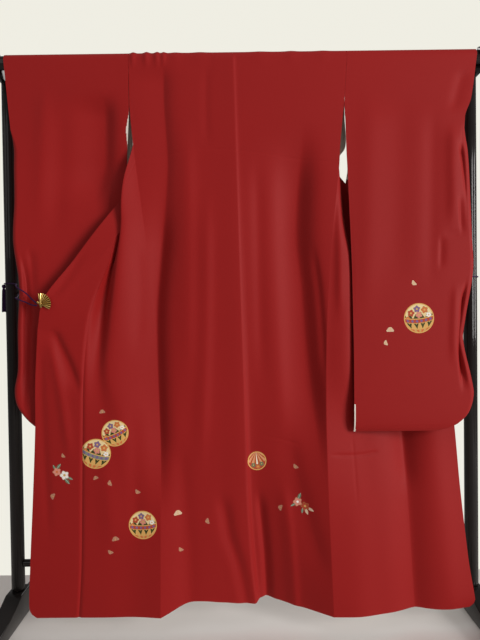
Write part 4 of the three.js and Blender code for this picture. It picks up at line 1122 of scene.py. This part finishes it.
def fanClip(name, side, hand):
    # a folded fan: a flat grid swept round its pin, its pleats pushed in and out
    px, py, pz = clipAt[side]
    bpy.ops.mesh.primitive_grid_add(x_subdivisions=fan["pleats"] * 4, y_subdivisions=8, size=1)
    leaf = startPiece(name)
    for vertex in leaf.data.vertices:
        share, out = vertex.co.x + 0.5, vertex.co.y + 0.5
        angle = math.radians(fan["from"] + (fan["to"] - fan["from"]) * share)
        pleat = abs((share * fan["pleats"]) % 1 - 0.5) * 2
        reach = (fan["root"] + (1 - fan["root"]) * out) * (fan["radius"] - fan["notch"] * pleat)
        deep = fan["zigzag"] * (2 * pleat - 1) * (0.25 + 0.75 * out)
        depth = py - fan["inFront"] + deep
        vertex.co = (px - hand * reach * math.cos(angle), depth, pz + reach * math.sin(angle))
    thick = leaf.modifiers.new("thickness", "SOLIDIFY")
    thick.thickness, thick.offset = fan["thick"], 0
    bpy.ops.object.modifier_apply(modifier="thickness")
    with wholeMesh():
        bpy.ops.mesh.normals_make_consistent(inside=False)
    parts = [leaf]
    for turn in (fan["from"] - 3, fan["to"] + 3):  # guard sticks that run past the pin
        angle = math.radians(turn)
        tip = Vector((-hand * math.cos(angle), 0, math.sin(angle)))
        aside = Vector((hand * math.sin(angle), 0, math.cos(angle)))

        def stickCorner(far, back, up):
            spot = tip * (fan["radius"] * 0.97 if far else -fan["handle"])
            spot += aside * (fan["stickWidth"][far] * (1 if up else -1))
            return px + spot.x, py - fan["stickDepth"][back], pz + spot.z
        parts.append(smallBlock(name + "_stick", stickCorner, 0.0005, 2))
    pinAt = (px, py - fan["inFront"] - fan["thick"] / 1.5, pz)
    bpy.ops.mesh.primitive_uv_sphere_add(segments=20, ring_count=12, radius=fan["pin"], location=pinAt)
    parts.append(startPiece(name + "_pin", (1, 0.6, 1)))
    for ends in fan["jaws"]:
        def jawCorner(*outer):
            x, y, z = (ends[end][axis] for axis, end in enumerate(outer))
            return px + hand * x, py + y, pz + z
        parts.append(smallBlock(name + "_jaw", jawCorner, 0.0008, 3))
    choose(*parts)
    bpy.ops.object.join()
    with wholeMesh():
        bpy.ops.mesh.normals_make_consistent(inside=False)
    return leaf


cordDiameter = 0.0035
cordRoute = {
    "left": [(-567, -65, 957), (-584, -56, 969), (-608, -42, 988), (-630, -38, 1001), (-642, -26, 1009),
             (-650, 0, 1014), (-668, 30, 1018), (-688, 52, 1020), (-702, 58, 1021), (-714, 63, 1021),
             (-721, 73, 1021), (-721.5, 86, 1020), (-714, 97, 1019), (-701, 102, 1015), (-688, 98.5, 1008),
             (-680, 89, 1000), (-677, 76, 993), (-672, 56, 986), (-660, 24, 980), (-648, -8, 976),
             (-641, -30, 974), (-628, -39, 969), (-606, -45, 961), (-584, -56, 953), (-567, -65, 951)],
    "right": [(581.5, 34, 965), (592, 33, 973), (608, 36, 984), (632, 43, 1001), (660, 50, 1015),
              (684, 54, 1022), (702, 58, 1024), (714, 63, 1024), (721, 73, 1024), (721.5, 86, 1023),
              (714, 97, 1022), (701, 102, 1020), (688, 98.5, 1018), (680, 89, 1015), (676, 76, 1011),
              (664, 60, 1006), (648, 50, 997), (622, 41, 982), (598, 34, 966), (581.5, 34, 958)],
}
tasselAt = {"left": (-0.7263, 0.080, 1.0194), "right": (0.701, 0.1067, 1.0189)}
# a tassel's radius at each depth below its ring
tassel = [(0.0002, 0.0), (0.0028, -0.0004), (0.0048, -0.0022), (0.0058, -0.0055), (0.0052, -0.0088),
          (0.0036, -0.0112), (0.0034, -0.0132), (0.0046, -0.0150), (0.0052, -0.0200), (0.0056, -0.0300),
          (0.0060, -0.0450), (0.0064, -0.0620), (0.0068, -0.0780), (0.0069, -0.0838)]
flutes = {"threads": 48, "below": 0.014, "core": 0.004, "sunk": 0.86, "uneven": 0.0012, "length": 0.084}


def plaitedCord(name, points):
    curve = bpy.data.curves.new(name, "CURVE")
    curve.dimensions = "3D"
    spline = curve.splines.new("POLY")
    smooth = curveThrough(np.array(points) * mm)(np.linspace(0, 1, 140))
    spline.points.add(len(smooth) - 1)
    for point, place in zip(spline.points, smooth):
        point.co = (*place, 1)
    curve.bevel_depth, curve.bevel_resolution, curve.use_fill_caps = cordDiameter / 2, 4, True
    piece = bpy.data.objects.new(name, curve)
    scene.collection.objects.link(piece)
    curve.materials.append(braid)
    settle(piece)
    return float(np.linalg.norm(np.diff(smooth, axis=0), axis=1).sum())


def silkTassel(name, place):
    # a ring drawn out and down row by row; its threads are pinched into flutes
    threads = flutes["threads"]
    bpy.ops.mesh.primitive_circle_add(vertices=threads, radius=tassel[0][0], location=place)
    piece = startPiece(name)
    with wholeMesh():
        for before, after in zip(tassel, tassel[1:]):
            bpy.ops.mesh.extrude_region_move(TRANSFORM_OT_translate={"value": (0, 0, after[1] - before[1])})
            grow, level = after[0] / before[0], (place[0], place[1], place[2] + after[1])
            bpy.ops.transform.resize(value=(grow, grow, 1), center_override=level)
        bpy.ops.mesh.edge_face_add()
        bpy.ops.mesh.inset(thickness=0.0012, depth=-0.001)
        bpy.ops.mesh.select_all(action="SELECT")
        bpy.ops.mesh.remove_doubles(threshold=1e-6)
        bpy.ops.mesh.normals_make_consistent(inside=False)
    for vertex in piece.data.vertices:
        dx, dy = vertex.co.x - place[0], vertex.co.y - place[1]
        if vertex.co.z < place[2] - flutes["below"] and math.hypot(dx, dy) > flutes["core"]:
            index = round(math.atan2(dy, dx) / (2 * math.pi / threads))
            grow = 1.0 if index % 2 else flutes["sunk"]
            vertex.co.x, vertex.co.y = place[0] + dx * grow, place[1] + dy * grow
            drop = (place[2] - vertex.co.z) / flutes["length"]
            vertex.co.z += flutes["uneven"] * math.sin(index * 2.3) * drop
    return piece


for side, hand in hands.items():
    finishPiece(fanClip("fan_clip_" + side + "_gilt", side, hand), gilt)
    cordLength = plaitedCord("cord_" + side + "_braid", cordRoute[side])
    print(side, "cord is", round(cordLength, 4), "m long")
    finishPiece(silkTassel("tassel_" + side + "_braid", tasselAt[side]), braid)
print("clips, cords and tassels made")

# ---- floor, light
floorSizes = {"halfWidth": 2.2, "front": -2.6, "back": 0.31}


def paleFloor():
    paint = Paint("paleFloor")
    grain = paint.noise(6, 3.0)
    colour = paint.mix(grain, (0.76, 0.71, 0.68), (0.71, 0.66, 0.63))
    paint.set(Base_Color=colour, Roughness=0.55)
    return paint.material


bpy.ops.mesh.primitive_plane_add(size=1, location=(0, (floorSizes["front"] + floorSizes["back"]) / 2, -0.0005))
floor = startPiece("floor", (2 * floorSizes["halfWidth"], floorSizes["back"] - floorSizes["front"], 1))
floor.data.materials.append(paleFloor())

room = {"seen": ((0.868, 0.852, 0.768, 1), 1.0), "lit": ((1.0, 0.985, 0.96, 1), 0.22)}
world = scene.world or bpy.data.worlds.new("room")
scene.world = world
world.use_nodes = True
tree = world.node_tree
tree.nodes.clear()
path, blend, out = (tree.nodes.new("ShaderNode" + kind) for kind in ("LightPath", "MixShader", "OutputWorld"))
tree.links.new(path.outputs["Is Camera Ray"], blend.inputs[0])
for socket, kind in ((1, "lit"), (2, "seen")):
    glow = tree.nodes.new("ShaderNodeBackground")
    glow.inputs[0].default_value, glow.inputs[1].default_value = room[kind]
    tree.links.new(glow.outputs[0], blend.inputs[socket])
tree.links.new(blend.outputs[0], out.inputs[0])

lights = [
    {"name": "window right", "place": (5.2, -3.85, 2.0), "aim": (0.0, 0, 1.0), "size": (2.4, 3.1), "power": 362},
    {"name": "window left", "place": (-2.2, -2.4, 2.2), "aim": (0.0, 0, 1.1), "size": (1.2, 1.4), "power": 7},
    {"name": "ceiling", "place": (0.0, -1.1, 3.1), "aim": (0, 0, 0.9), "size": (2.0, 1.2), "power": 6},
    {"name": "behind", "place": (0.4, 2.4, 2.4), "aim": (0, 0, 1.0), "size": (2.0, 1.4), "power": 34},
]
for entry in lights:
    bpy.ops.object.light_add(type="AREA", location=entry["place"])
    lamp = bpy.context.object
    lamp.name = entry["name"]
    lamp.data.shape, lamp.data.size, lamp.data.size_y = "RECTANGLE", *entry["size"]
    lamp.data.energy, lamp.data.color = entry["power"], (1.0, 0.985, 0.96)
    aim = Vector(entry["aim"]) - Vector(entry["place"])
    lamp.rotation_euler = aim.to_track_quat("-Z", "Y").to_euler()
print("lights set")
